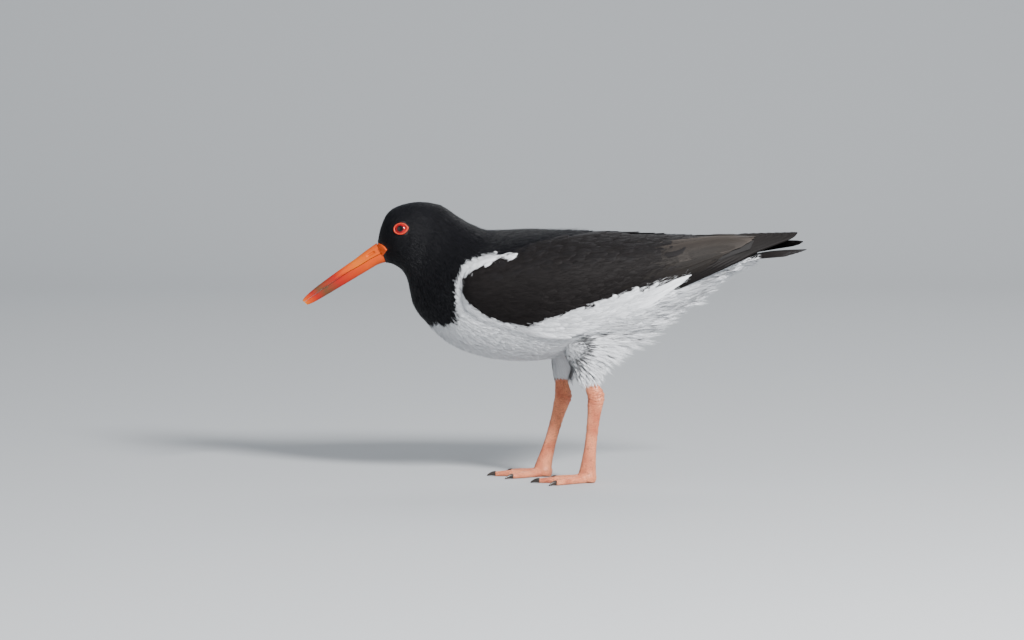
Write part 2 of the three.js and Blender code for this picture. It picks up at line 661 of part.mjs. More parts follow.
place("head", head, BLACK);
place("neck", fitted(neckCore(), []), BLACK);
place("torso", torso, WHITE);
place("tail", tailSolid, BLACK);
place("wing_left", wingLeft, BLACK);
place("wing_right", wingRight, BLACK);
place("primaries_left", handLeft, BLACK);
place("primaries_right", handRight, BLACK);
place("bill_upper", upper, BILL_RED);
place("bill_lower", lower, BILL_RED);
for (const side of ["left", "right"]) {
  const leg = LEGS[side];
  place(`eye_${side}`, eye[side], EYE_RED);
  place(`eye_ring_${side}`, eyeRings[side], RING_ORANGE);
  place(`thigh_${side}`, thighSolid(leg), WHITE);
  place(`shank_${side}`, outwards(shank(leg), leg.side), LEG_PINK);
  place(`foot_${side}`, outwards(foot(leg), leg.side), LEG_PINK);
  for (const toe of TOES) place(`claw_${side}_${toe.name}`, outwards(claw(leg, toe), leg.side), CLAW_BLACK);
}

export default group;
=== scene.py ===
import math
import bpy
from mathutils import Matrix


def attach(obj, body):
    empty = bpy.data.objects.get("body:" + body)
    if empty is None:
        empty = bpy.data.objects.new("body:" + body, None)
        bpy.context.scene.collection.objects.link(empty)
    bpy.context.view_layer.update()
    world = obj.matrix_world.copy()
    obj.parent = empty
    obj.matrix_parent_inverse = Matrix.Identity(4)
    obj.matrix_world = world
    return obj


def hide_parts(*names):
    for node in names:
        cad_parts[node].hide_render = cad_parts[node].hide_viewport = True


bl_info = {
    "name": "Oystercatcher model",
    "version": (1, 0, 0),
    "blender": (4, 5, 0),
    "location": "3D View > Sidebar > Oystercatcher",
    "description": "Builds the skin, plumage, bill, eyes and legs of a life-size standing oystercatcher",
    "category": "Object",
}

import bpy
import numpy as np
from mathutils import Vector

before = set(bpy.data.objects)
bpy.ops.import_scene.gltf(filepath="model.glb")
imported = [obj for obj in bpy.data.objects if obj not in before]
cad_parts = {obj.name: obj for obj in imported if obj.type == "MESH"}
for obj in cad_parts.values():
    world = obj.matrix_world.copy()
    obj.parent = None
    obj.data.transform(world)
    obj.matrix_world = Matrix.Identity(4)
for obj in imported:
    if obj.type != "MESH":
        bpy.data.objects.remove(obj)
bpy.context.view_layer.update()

MM = 0.001
LEFT = -1
RIGHT = 1
SIDES = {"left": LEFT, "right": RIGHT}
GAP = 0.35

# All tables are in millimetres, with +Z up, the head towards -X and the left side towards -Y.

# The body's flat sections: top x and z, bottom x and z, half width, and where up the height it is widest
BODY = np.array([
    [-136.3, 184.4, -129.7, 167.5, 6.6, 0.5],
    [-133.6, 195.6, -125.1, 166.7, 11.5, 0.52],
    [-129, 205.2, -120.5, 164.4, 15.2, 0.54],
    [-122, 210.6, -116.3, 160.9, 17.6, 0.56],
    [-109.7, 214.1, -113, 154.4, 19, 0.58],
    [-97.4, 214.2, -111.2, 145.9, 19.6, 0.57],
    [-85.9, 211, -109, 136.8, 21.5, 0.54],
    [-75.1, 203.8, -104.7, 128.9, 25, 0.52],
    [-64.3, 197.3, -97.4, 120.6, 30.5, 0.5],
    [-52.7, 192.6, -86.2, 109.4, 36, 0.5],
    [-37.3, 192.6, -68.1, 99.6, 41, 0.5],
    [-15, 193.3, -42, 93.4, 44, 0.5],
    [11.9, 191.5, -11.2, 93, 45, 0.5],
    [42.7, 187.5, 23.5, 100, 42, 0.5],
    [73.5, 182.5, 59.7, 110.5, 35, 0.5],
    [104.3, 178, 96.6, 134.6, 26, 0.5],
    [131.3, 175.5, 129, 158.6, 17, 0.5],
    [155.9, 174.5, 155.2, 170.2, 12, 0.5],
])
BODY_END = len(BODY) - 1.0

# The folded wing's outer face: lower edge x, y, z, upper edge x, y, z (y outwards), and its bulge
WING = np.array([
    [-71.6, 37.2, 145.5, -71.2, 37, 158, 1],
    [-69.7, 38, 137.8, -65, 37, 165.6, 5],
    [-62, 39.5, 130.1, -54.3, 35, 172.5, 9],
    [-45.8, 40.5, 123.2, -35.8, 32, 178.6, 13],
    [-21.2, 41, 116.3, -11.2, 27, 185.6, 17],
    [4.2, 38.5, 114, 13.5, 20, 190.2, 22.5],
    [35, 35, 120.1, 42.7, 12, 191.5, 24],
    [65.8, 33, 134.8, 73.5, 6, 190, 20],
    [96.6, 28, 154, 104.3, 3.6, 188.5, 12],
    [125, 22, 170, 131.3, 3, 188, 7],
    [150, 15, 179.5, 156, 2.6, 186.6, 3],
])
WING_END = len(WING) - 1.0

# The longest primary of each folded wing, root to tip (y outwards)
HANDS = {
    "left": [[82.8, 33.5, 149.4], [112, 27, 162.5], [139, 17.5, 174.8], [155.9, 10.5, 182.2], [186.7, 2, 191.2]],
    "right": [[82.8, 33.5, 149.4], [112, 27, 162.5], [139, 17, 174.2], [155.9, 10.5, 179.6], [191.3, 3, 184]],
}
PRIMARIES = 7

# Legs, with y outwards: thigh sections (x, y, z, radius fore and aft, radius across), knee, ankle and foot
LEGS = {
    "left": {
        "thigh": [[23.5, 20, 113, 17, 13], [21.5, 20.5, 101.3, 14.5, 11], [22, 21, 93.6, 10.5, 8.5],
                  [24.3, 21.5, 86.6, 7.3, 6.2], [26, 22, 80, 5.2, 4.8]],
        "knee": [26.2, 22, 79.6], "ankle": [31.8, 22, 66.5], "foot": [25.4, 22, 8.6],
    },
    "right": {
        "thigh": [[7, 20, 112, 13, 12], [5.8, 20.5, 101, 10, 10], [5.8, 21, 92.8, 8, 8],
                  [5.6, 21.5, 85, 6.6, 6.2], [5.2, 22, 77.4, 5, 4.8]],
        "knee": [5.2, 22, 77], "ankle": [7, 22, 62.5], "foot": [-8.2, 22, 8.6],
    },
}
# Girth of the bare leg: share of the way (0 knee, 1 ankle, 2 foot), radius fore and aft, radius across
SHANK = [[0, 4.4, 3.5], [0.55, 5.7, 4.2], [1, 6.5, 4.9], [1.12, 5.7, 4.4], [1.28, 4.7, 3.5],
         [1.6, 4.3, 3.2], [1.8, 4.9, 3.8], [2, 6.2, 4.9]]
TOES = [(36, 29), (-3, 36.5), (-40, 31)]  # turn from straight ahead in degrees, inwards positive, and length
TOE_GIRTH = [[4.4, 8], [3.9, 6.6], [3.3, 5.5], [3.1, 5], [2.6, 4.4], [1.9, 3.6]]  # half width, height
CLAW_LENGTH = 6

# Bill sections: culmen x and z, mouth line x and z, underside x and z, half width
BILL = np.array([
    [-137.1, 182.8, -131.3, 176.3, -129.7, 168.2, 6.3],
    [-145.1, 177.1, -140.9, 171.3, -135.9, 166.3, 5.3],
    [-153.6, 170.6, -149.4, 166.1, -144.8, 161.1, 4.3],
    [-163.6, 163.6, -160.2, 159.9, -155.9, 154.5, 3.6],
    [-174.4, 155.8, -170.6, 152.8, -167.1, 147.8, 3],
    [-184.4, 148.2, -181.3, 145.5, -177.9, 141.4, 2.4],
    [-191.3, 142.1, -189, 140.1, -185.6, 137.1, 1.8],
    [-194, 138.6, -192.5, 137.4, -190.2, 135.3, 1.2],
])

GAPE_LENGTH = 0.95  # in sections of the body, back from the bill

EYE_AT = (-118.2, 195.2)
EYE_RADIUS = 6.3
EYE_SUNK = 4.9
EYE_TILT = math.radians(8)  # how far the eye's rear corner is turned up


# Shape helpers

def spline(table, s):
    """The table's row at the real row number s: a Catmull-Rom curve through the rows, for arrays of any shape."""
    table = np.asarray(table, float)
    last = len(table) - 1
    s = np.asarray(s, float)
    i = np.clip(np.floor(s), 0, last - 1).astype(int)
    t = (s - i)[..., None]
    a, b, c, d = (table[np.clip(i + k, 0, last)] for k in (-1, 0, 1, 2))
    return 0.5 * (2 * b + (c - a) * t + (2 * a - 5 * b + 4 * c - d) * t**2 + (3 * b - a - 3 * c + d) * t**3)


def unit(v):
    """Vectors divided by their lengths."""
    return v / np.maximum(np.linalg.norm(v, axis=-1, keepdims=True), 1e-9)


def smooth(x, low, high):
    """0 below low, 1 above high, and a smooth cubic between them."""
    t = np.clip((x - low) / (high - low), 0, 1)
    return t * t * (3 - 2 * t)


def hump(x, centre, width):
    """A bell of height 1 at the centre, falling off as the square of the distance over the width."""
    return np.exp(-(((x - centre) / width) ** 2))


class Surface:
    """A surface P(p, q) of two numbers, with its derivatives by small steps and its outward normal."""

    def __init__(self, point, low, high, outward):
        self.point = point
        self.low = low
        self.high = high
        self.outward = outward

    def frame(self, p, q):
        """The point, the derivative by p, the derivative by q and the unit normal."""
        h = 0.004
        along = (self.point(p + h, q) - self.point(p - h, q)) / (2 * h)
        across = (self.point(p, q + h) - self.point(p, q - h)) / (2 * h)
        return self.point(p, q), along, across, unit(np.cross(along, across)) * self.outward


def body_point(s, a):
    """Body skin: in section s, two half ellipses on one waist; a runs from the back round the left side."""
    top_x, top_z, low_x, low_z, half, waist = np.moveaxis(spline(BODY, np.clip(s, 0, BODY_END)), -1, 0)
    height = np.hypot(top_x - low_x, top_z - low_z)
    c = np.cos(a)
    share = waist + np.where(c > 0, 1 - waist, waist) * c
    x = low_x + (top_x - low_x) * share
    z = low_z + (top_z - low_z) * share
    return np.stack([x, -half * np.sin(a), z], axis=-1) * np.ones_like(height)[..., None]


def wing_point(side):
    """Wing face: a straight line from lower to upper edge at u, pushed out by a parabola of v with the bulge."""
    def point(u, v):
        row = spline(WING, np.clip(u, 0, WING_END))
        low, high, bulge = row[..., :3], row[..., 3:6], row[..., 6]
        out = unit(np.stack([0 * bulge, high[..., 2] - low[..., 2], low[..., 1] - high[..., 1]], axis=-1))
        p = low + (high - low) * v[..., None]
        p = p + out * (4 * bulge * v * (1 - v) * (1 + 0.25 * (v - 0.5)))[..., None]
        return p * np.array([1, side, 1])
    return point


def limb_point(stations, side):
    """Limb skin: an ellipse round a curved line of stations; a runs round it from the front."""
    stations = np.asarray(stations, float)
    last = len(stations) - 1.0

    def point(s, a):
        s = np.clip(s, 0, last)
        row = spline(stations, s)
        ahead = unit(spline(stations, np.minimum(s + 0.05, last))[..., :3]
                     - spline(stations, np.maximum(s - 0.05, 0))[..., :3])
        across = unit(np.array([0.0, 1.0, 0.0]) - ahead * ahead[..., 1:2])
        front = np.cross(ahead, across)
        p = row[..., :3] + front * (row[..., 3] * np.cos(a))[..., None] + across * (row[..., 4] * np.sin(a))[..., None]
        return p * np.array([1, side, 1])
    return point


BODY_SKIN = Surface(body_point, (0.0, 0.0), (BODY_END, 2 * math.pi), -1)
WING_FACE = {name: Surface(wing_point(side), (0.0, 0.0), (WING_END, 1.0), -side) for name, side in SIDES.items()}
THIGH = {name: Surface(limb_point(LEGS[name]["thigh"], side), (0.0, 0.0), (4.0, 2 * math.pi), side)
         for name, side in SIDES.items()}


# Mesh helpers

def make_piece(name, points, faces, material, smooth_faces=True):
    """A mesh object from millimetre points and lists of faces (arrays of 3 or 4 columns), riding on the root."""
    mesh = bpy.data.meshes.new(name)
    points = np.asarray(points, float).reshape(-1, 3) * MM
    faces = [np.asarray(f, int) for f in faces if len(f)]
    loops = np.concatenate([f.ravel() for f in faces])
    sizes = np.concatenate([np.full(len(f), f.shape[1]) for f in faces])
    mesh.vertices.add(len(points))
    mesh.vertices.foreach_set("co", points.ravel())
    mesh.loops.add(len(loops))
    mesh.loops.foreach_set("vertex_index", loops)
    mesh.polygons.add(len(sizes))
    mesh.polygons.foreach_set("loop_start", np.concatenate([[0], np.cumsum(sizes)[:-1]]))
    mesh.polygons.foreach_set("use_smooth", np.full(len(sizes), smooth_faces))
    mesh.update(calc_edges=True)
    mesh.materials.append(material)
    piece = bpy.data.objects.new(name, mesh)
    bpy.context.collection.objects.link(piece)
    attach(piece, "root")
    return piece


def paint(piece, name, colours):
    """Stores one colour for each vertex as a colour attribute."""
    colours = np.concatenate([colours, np.ones((len(colours), 1))], axis=1)
    attribute = piece.data.color_attributes.new(name=name, type="FLOAT_COLOR", domain="POINT")
    attribute.data.foreach_set("color", colours.ravel())


def unwrap(piece, name, uv):
    """Stores one UV pair for each vertex as a UV map."""
    mesh = piece.data
    index = np.empty(len(mesh.loops), int)
    mesh.loops.foreach_get("vertex_index", index)
    layer = mesh.uv_layers.new(name=name)
    layer.data.foreach_set("uv", np.ascontiguousarray(uv[index], dtype=np.float32).ravel())


def grid_faces(rows, columns, closed, flip=False):
    """Quads of a grid of points in rows, closed round its columns or open."""
    r = np.arange(rows - 1)[:, None]
    c = np.arange(columns if closed else columns - 1)[None, :]
    d = (c + 1) % columns
    quads = np.stack([r * columns + c, r * columns + d, (r + 1) * columns + d, (r + 1) * columns + c], axis=-1)
    quads = quads.reshape(-1, 4)
    return quads[:, ::-1] if flip else quads


def tube_faces(rows, columns, flip=False):
    """Quads of a closed-round grid, with fans to one point before its first row and one after its last."""
    quads = grid_faces(rows, columns, True, flip)
    c = np.arange(columns)
    d = (c + 1) % columns
    start, end = rows * columns, rows * columns + 1
    last = (rows - 1) * columns
    first_fan = np.stack([np.full(columns, start), d, c], axis=1)
    last_fan = np.stack([np.full(columns, end), last + c, last + d], axis=1)
    if flip:
        first_fan, last_fan = first_fan[:, ::-1], last_fan[:, ::-1]
    return [quads, np.concatenate([first_fan, last_fan])]


def tube_points(grid):
    """A grid's points with the middles of its first and last rows added at the end."""
    ends = np.stack([grid[0].mean(0), grid[-1].mean(0)])
    return np.concatenate([grid.reshape(-1, 3), ends])


def outward_faces(points, faces):
    """The faces turned over if they enclose a negative volume, so that they point outwards."""
    volume = 0.0
    for f in faces:
        a, b, c = points[f[:, 0]], points[f[:, 1]], points[f[:, 2]]
        volume += np.einsum("ij,ij->", a, np.cross(b, c))
        if f.shape[1] == 4:
            volume += np.einsum("ij,ij->", a, np.cross(c, points[f[:, 3]]))
    return faces if volume > 0 else [f[:, ::-1] for f in faces]


def joined(parts):
    """Points and faces of several shapes, as one set of points and two lists of faces."""
    points, quads, triangles, start = [], [], [], 0
    for p, faces in parts:
        points.append(p)
        for f in faces:
            (quads if f.shape[1] == 4 else triangles).append(f + start)
        start += len(p)
    return np.concatenate(points), [np.concatenate(k) for k in (quads, triangles) if k]


# Scattering and laying feathers

def scatter(surface, low, high, density, seed):
    """Even places on a surface: a two-number sequence with no clumps, mapped through the running sums of
    area times density (feathers a square millimetre) over a fine grid."""
    rows = columns = 220
    p = low[0] + (high[0] - low[0]) * (np.arange(rows) + 0.5) / rows
    q = low[1] + (high[1] - low[1]) * (np.arange(columns) + 0.5) / columns
    pp, qq = np.meshgrid(p, q, indexing="ij")
    place, along, across, _ = surface.frame(pp, qq)
    cell = (high[0] - low[0]) * (high[1] - low[1]) / rows / columns
    weight = np.linalg.norm(np.cross(along, across), axis=-1) * cell * density(place, pp, qq) + 1e-12
    count = int(weight.sum())
    k = np.arange(1, count + 1)
    r = (seed * 0.137 + k * 0.7548776662466927) % 1
    s = (seed * 0.311 + k * 0.5698402909980532) % 1
    running = np.concatenate([[0], np.cumsum(weight.sum(1))]) / weight.sum()
    at = np.interp(r, running, np.arange(rows + 1.0))
    i = np.clip(at.astype(int), 0, rows - 1)
    share = np.cumsum(weight, axis=1) / weight.sum(1, keepdims=True)
    j = np.clip(np.searchsorted((share + np.arange(rows)[:, None]).ravel(), i + s) - i * columns, 0, columns - 1)
    before = np.where(j > 0, share[i, j - 1], 0)
    part = (s - before) / np.maximum(share[i, j] - before, 1e-9)
    return low[0] + (high[0] - low[0]) * at / rows, low[1] + (high[1] - low[1]) * (j + part) / columns


FEATHER = {"t": [0, 0.22, 0.45, 0.68, 0.88, 1], "w": [0.35, 0.8, 1, 0.95, 0.66, 0.16]}
LOCK = {"t": [0, 0.3, 0.62, 0.85, 1], "w": [0.8, 1, 0.8, 0.45, 0.04]}
STRAND = {"t": [0, 0.5, 1], "w": [1, 0.75, 0.06]}
PLUME = {"t": [0, 0.35, 0.7, 1], "w": [1, 0.85, 0.5, 0.05]}


def run(surface, p, q, length, turn, shares, heading=None):
    """The surface numbers along midlines of the given lengths, which leave their roots at the angle "turn" to
    the line of growing p, or to a heading in space laid flat on the surface: the direction is resolved into the
    two derivatives by the surface's own metric."""
    _, along, across, normal = surface.frame(p, q)
    flow = along if heading is None else heading - normal * (normal * heading).sum(-1, keepdims=True)
    e1 = unit(flow)
    d = e1 * np.cos(turn)[:, None] + np.cross(normal, e1) * np.sin(turn)[:, None]
    g11, g12, g22 = ((x * y).sum(-1) for x, y in ((along, along), (along, across), (across, across)))
    r1, r2 = (along * d).sum(-1), (across * d).sum(-1)
    area = np.maximum(g11 * g22 - g12**2, 1e-9)
    vp, vq = (g22 * r1 - g12 * r2) / area, (g11 * r2 - g12 * r1) / area
    reach = length[:, None] * shares
    return p[:, None] + vp[:, None] * reach, q[:, None] + vq[:, None] * reach


def sheets(surface, pt, qt, half, rng, outline=FEATHER, lift=1.0, sink=0.6, camber=0.25, roll=0.1, columns=3,
           droop=0.0):
    """Feathers as curved sheets over midlines on a surface. A midline rises from -sink at its root to lift at
    its tip, past the surface's end it runs straight on, and droop bends its tip down. Across it the sheet has
    the outline's width and bends down by the camber times the square of the offset."""
    count = len(pt)
    t = np.array(outline["t"])
    half = np.broadcast_to(half, count) * rng.uniform(0.88, 1.12, count)
    lift = np.broadcast_to(lift, count) * rng.uniform(0.7, 1.3, count)
    inside = np.clip(pt, surface.low[0] + 0.01, surface.high[0] - 0.01)
    place, along, across, normal = surface.frame(inside, qt)
    dp, dq = (pt[:, -1] - pt[:, 0])[:, None, None], (qt[:, -1] - qt[:, 0])[:, None, None]
    ahead = unit(along * dp + across * dq)
    speed = np.linalg.norm(along, axis=-1)
    place = place + ahead * ((pt - inside) * speed)[..., None]
    middle = place + normal * (-sink + (sink + lift[:, None]) * t**1.3)[..., None]
    middle[..., 2] -= np.broadcast_to(droop, count)[:, None] * t**2
    side = np.cross(ahead, normal)
    angle = rng.normal(0, roll, count)[:, None, None]
    side, normal = side * np.cos(angle) + normal * np.sin(angle), normal * np.cos(angle) - side * np.sin(angle)
    c = np.linspace(-1, 1, columns)
    w = half[:, None] * np.array(outline["w"])
    points = (middle[:, :, None] + side[:, :, None] * (w[:, :, None] * c)[..., None]
              - normal[:, :, None] * (camber * w[:, :, None] * c**2)[..., None])
    v, u = np.meshgrid(t, (c + 1) / 2, indexing="ij")
    return {"points": points, "u": np.broadcast_to(u, points.shape[:3]), "v": np.broadcast_to(v, points.shape[:3]),
            "root": (pt[:, 0], qt[:, 0]), "place": place}


def lay(surface, p, q, length, half, rng, outline=FEATHER, turn=0.0, loose=0.12, **form):
    """Feathers from scattered roots, each of about the given length, with its heading varied by "loose"."""
    length = np.broadcast_to(length, len(p)) * rng.uniform(0.85, 1.15, len(p))
    turn = turn + rng.normal(0, loose, len(p))
    pt, qt = run(surface, p, q, length, turn, np.array(outline["t"]))
    return sheets(surface, pt, qt, half, rng, outline=outline, **form)


def lay_row(surface, roots, tips, count, half, rng, outline=FEATHER, **form):
    """A row of feathers with roots and tips evenly on two lines of surface numbers."""
    k = np.linspace(0, 1, count)
    roots, tips = np.asarray(roots, float), np.asarray(tips, float)
    start = spline(roots, k * (len(roots) - 1)) + rng.normal(0, 0.006, (count, 2))
    end = spline(tips, k * (len(tips) - 1)) + rng.normal(0, 0.012, (count, 2))
    t = np.array(outline["t"])
    pt = start[:, :1] + (end[:, :1] - start[:, :1]) * t
    qt = start[:, 1:] + (end[:, 1:] - start[:, 1:]) * t
    return sheets(surface, pt, qt, half, rng, outline=outline, **form)


def feather_piece(name, sets, colour, material, seed):
    """One piece from several sets of laid feathers. Its OFBake map puts each feather in a patch 0.003 across
    at its root's place on the unwrapped skin, and its Vane map holds the share across and along each feather
    plus a whole number of its own. "colour" gives the markings at a place."""
    rng = np.random.default_rng(seed)
    points, faces, bake, vane, tints, start = [], [], [], [], [], 0
    for laid, unwrapped in sets:
        n, rows, columns = laid["points"].shape[:3]
        grid = grid_faces(rows, columns, False)
        faces.append((grid[None] + (np.arange(n) * rows * columns)[:, None, None]).reshape(-1, 4) + start)
        start += n * rows * columns
        points.append(laid["points"].reshape(-1, 3))
        u, v = laid["u"], laid["v"]
        ru, rv = unwrapped(*laid["root"])
        bake.append(np.stack([ru[:, None, None] + 0.003 * (u - 0.5), rv[:, None, None] + 0.003 * (v - 0.5)], -1)
                    .reshape(-1, 2))
        shift = rng.integers(0, 50, (n, 1, 1, 2))
        vane.append((np.stack([u, v * 0.98], -1) + shift).reshape(-1, 2))
        tints.append(colour(laid, rng).reshape(-1, 3))
    piece = make_piece(name, np.concatenate(points), [np.concatenate(faces)], material)
    unwrap(piece, "OFBake", np.concatenate(bake))
    unwrap(piece, "Vane", np.concatenate(vane))
    paint(piece, "plumage", np.concatenate(tints))
    return piece


def body_unwrap(s, a):
    """The body skin laid flat: share of its length, and share of the way round."""
    return 0.02 + 0.96 * s / BODY_END, 0.02 + 0.96 * (a % (2 * math.pi)) / (2 * math.pi)


def wing_unwrap(u, v):
    """The wing's face laid flat: share of its length, and share of its depth."""
    return 0.02 + 0.96 * u / WING_END, 0.02 + 0.96 * np.clip(v, 0, 1)


def thigh_unwrap(s, a):
    """The thigh laid flat: share of the way down, and share of the way round."""
    return 0.02 + 0.96 * s / 4, 0.02 + 0.96 * (a % (2 * math.pi)) / (2 * math.pi)


# Markings: where the plumage is black, in the side view (millimetres)

HOOD_LOW = ([-137, -95, -90, -86, -80.5, -76.6, -73.5], [119, 119.4, 123.5, 120.5, 123, 123.2, 127.8])
HOOD_BACK = ([119, 123, 128, 135, 147, 156, 165], [-76.6, -76, -74.5, -75.8, -76.5, -75.4, -71.5])
MANTLE_LOW = ([-76, -71.5, -63, -50, -44, -38, 20, 131, 156], [159, 168, 174, 177, 176.5, 174, 174, 171, 172])
WING_LOW = ([-72, -70.6, -65.5, -56.7, -42, -21.2, -9.6, 10.4, 25.8, 34.3, 49.7, 65.8, 86.6, 99, 104, 108],
            [150, 146, 139, 132, 126, 121.5, 127.5, 134, 139.5, 142.5, 147.5, 151.5, 158, 161, 154, 123])
WING_TOP = ([-71, -68.5, -49.3, -45, -44], [160, 161.4, 171.4, 173, 400])


def body_is_black(x, z):
    """The hood down to a line across the breast, and the mantle along the back."""
    hood = (z > np.interp(x, *HOOD_LOW)) & (x < np.interp(z, *HOOD_BACK))
    return hood | (z > np.interp(x, *MANTLE_LOW))


def wing_is_black(x, z):
    """The folded wing between the white wing bar and the white patch at its front, but for one white feather."""
    spot = ((x + 37) / 5) ** 2 + ((z - 174.8) / 1.8) ** 2 < 1
    return (z > np.interp(x, *WING_LOW)) & (z < np.interp(x, *WING_TOP)) & ~spot


def linear(colour):
    """A property's colour as an array."""
    return np.array(colour[:3], float)


def marked(laid, rng, is_black, ragged, black, white):
    """One colour for each point of each feather: a feather takes the marking at its middle, moved by a small
    amount of its own, and its tone varies from feather to feather and grows lighter to its tip and edges."""
    place = laid["place"]
    middle = place[:, place.shape[1] // 2] + rng.normal(0, ragged, (len(place), 3))
    dark = is_black(middle[:, 0], middle[:, 2])[:, None, None, None]
    tone = rng.uniform(0.82, 1.12, len(place))[:, None, None, None]
    v, u = laid["v"][..., None], laid["u"][..., None]
    edge = np.abs(2 * u - 1)
    light = white * np.clip(tone, 0.9, 1.06) * (0.86 + 0.14 * v)
    deep = black * tone * (0.8 + 0.5 * v * edge)
    return np.where(dark, deep, light)


# Materials

def new_material(name):
    """An empty node material, its shader, and a function that adds a node with its settings and links."""
    material = bpy.data.materials.new(name)
    material.use_nodes = True
    nodes, links = material.node_tree.nodes, material.node_tree.links
    shader = nodes["Principled BSDF"]

    def add(kind, inputs=None, **settings):
        made = nodes.new(kind)
        for key, value in settings.items():
            setattr(made, key, value)
        for key, value in (inputs or {}).items():
            if isinstance(value, bpy.types.NodeSocket):
                links.new(value, made.inputs[key])
            else:
                made.inputs[key].default_value = value
        return made

    return material, shader, add, links


def ramp(add, factor, stops, interpolation="LINEAR"):
    """A colour ramp node with the given stops, each (place, colour)."""
    made = add("ShaderNodeValToRGB", {"Fac": factor})
    made.color_ramp.interpolation = interpolation
    while len(made.color_ramp.elements) < len(stops):
        made.color_ramp.elements.new(0.5)
    for element, (place, colour) in zip(made.color_ramp.elements, stops):
        element.position = place
        element.color = (*colour, 1) if len(colour) == 3 else colour
    return made.outputs["Color"]


def plumage_material(name, rough, sheen, sheen_tint, barb, gloss, streaks):
    """Feather vanes: the marking colour, streaked along the barbs, with a shaft line and barb relief. "streaks"
    is how much darker the dark streaks are."""
    material, shader, add, links = new_material(name)
    base = add("ShaderNodeVertexColor", layer_name="plumage").outputs["Color"]
    vane = add("ShaderNodeUVMap", uv_map="Vane").outputs["UV"]
    parts = add("ShaderNodeSeparateXYZ", {"Vector": vane})
    share = add("ShaderNodeMath", {0: parts.outputs["X"]}, operation="FRACT").outputs[0]
    off = add("ShaderNodeMath", {0: share, 1: 0.5}, operation="SUBTRACT").outputs[0]
    away = add("ShaderNodeMath", {0: off}, operation="ABSOLUTE").outputs[0]
    slant = add("ShaderNodeMath", {0: away, 1: -0.55, 2: parts.outputs["Y"]}, operation="MULTIPLY_ADD").outputs[0]
    across = add("ShaderNodeMath", {0: parts.outputs["X"], 1: 2.2}, operation="MULTIPLY").outputs[0]
    lines = add("ShaderNodeMath", {0: slant, 1: barb}, operation="MULTIPLY").outputs[0]
    where = add("ShaderNodeCombineXYZ", {"X": across, "Y": lines}).outputs[0]
    streak = add("ShaderNodeTexNoise", {"Vector": where, "Scale": 1.6, "Detail": 3.0, "Roughness": 0.6}).outputs["Fac"]
    tone = ramp(add, streak, [(0.3, (1 - streaks,) * 3), (0.7, (1 + 0.4 * streaks,) * 3)])
    tinted = add("ShaderNodeMix", data_type="RGBA", blend_type="MULTIPLY")
    tinted.inputs[0].default_value = 1.0
    links.new(base, tinted.inputs[6])
    links.new(tone, tinted.inputs[7])
    links.new(tinted.outputs[2], shader.inputs["Base Color"])
    shaft = ramp(add, away, [(0.0, (1, 1, 1)), (0.06, (0, 0, 0))])
    height = add("ShaderNodeMath", {0: shaft, 1: 0.6, 2: streak}, operation="MULTIPLY_ADD").outputs[0]
    bump = add("ShaderNodeBump", {"Height": height, "Strength": 0.55, "Distance": 0.0003})
    links.new(bump.outputs["Normal"], shader.inputs["Normal"])
    shader.inputs["Roughness"].default_value = rough
    shader.inputs["Sheen Weight"].default_value = sheen
    shader.inputs["Sheen Roughness"].default_value = 0.45
    shader.inputs["Sheen Tint"].default_value = (*sheen_tint, 1)
    shader.inputs["Specular IOR Level"].default_value = gloss
    return material


def skin_material():
    """The skin under the feathers: the same markings, darker, with a fine downy relief."""
    material, shader, add, links = new_material("downy_skin")
    base = add("ShaderNodeVertexColor", layer_name="plumage").outputs["Color"]
    place = add("ShaderNodeTexCoord").outputs["Object"]
    noise = add("ShaderNodeTexNoise", {"Vector": place, "Scale": 900.0, "Detail": 4.0}).outputs["Fac"]
    bump = add("ShaderNodeBump", {"Height": noise, "Strength": 0.5, "Distance": 0.0006})
    links.new(base, shader.inputs["Base Color"])
    links.new(bump.outputs["Normal"], shader.inputs["Normal"])
    shader.inputs["Roughness"].default_value = 0.85
    return material


def bill_material(name, stops):
    """Smooth horn: colour bands along the bill, broken up lengthwise, with fine growth lines."""
    material, shader, add, links = new_material(name)
    parts = add("ShaderNodeSeparateXYZ", {"Vector": add("ShaderNodeUVMap", uv_map="Horn").outputs["UV"]})
    stretched = add("ShaderNodeCombineXYZ", {
        "X": add("ShaderNodeMath", {0: parts.outputs["X"], 1: 5.0}, operation="MULTIPLY").outputs[0],
        "Y": add("ShaderNodeMath", {0: parts.outputs["Y"], 1: 9.0}, operation="MULTIPLY").outputs[0],
    }).outputs[0]
    cloud = add("ShaderNodeTexNoise", {"Vector": stretched, "Scale": 1.3, "Detail": 4.0, "Roughness": 0.55})
    moved = add("ShaderNodeMath", {0: cloud.outputs["Fac"], 1: 0.16, 2: -0.08}, operation="MULTIPLY_ADD").outputs[0]
    along = add("ShaderNodeMath", {0: parts.outputs["X"], 1: moved}, operation="ADD").outputs[0]
    links.new(ramp(add, along, stops), shader.inputs["Base Color"])
    fine = add("ShaderNodeTexNoise", {"Vector": stretched, "Scale": 9.0, "Detail": 5.0, "Roughness": 0.7}).outputs["Fac"]
    bump = add("ShaderNodeBump", {"Height": fine, "Strength": 0.22, "Distance": 0.0004})
    links.new(bump.outputs["Normal"], shader.inputs["Normal"])
    links.new(ramp(add, fine, [(0.3, (0.34,) * 3), (0.75, (0.5,) * 3)]), shader.inputs["Roughness"])
    shader.inputs["Specular IOR Level"].default_value = 0.25
    shader.inputs["Subsurface Weight"].default_value = 0.05
    shader.inputs["Subsurface Radius"].default_value = (0.004, 0.0012, 0.0005)
    return material


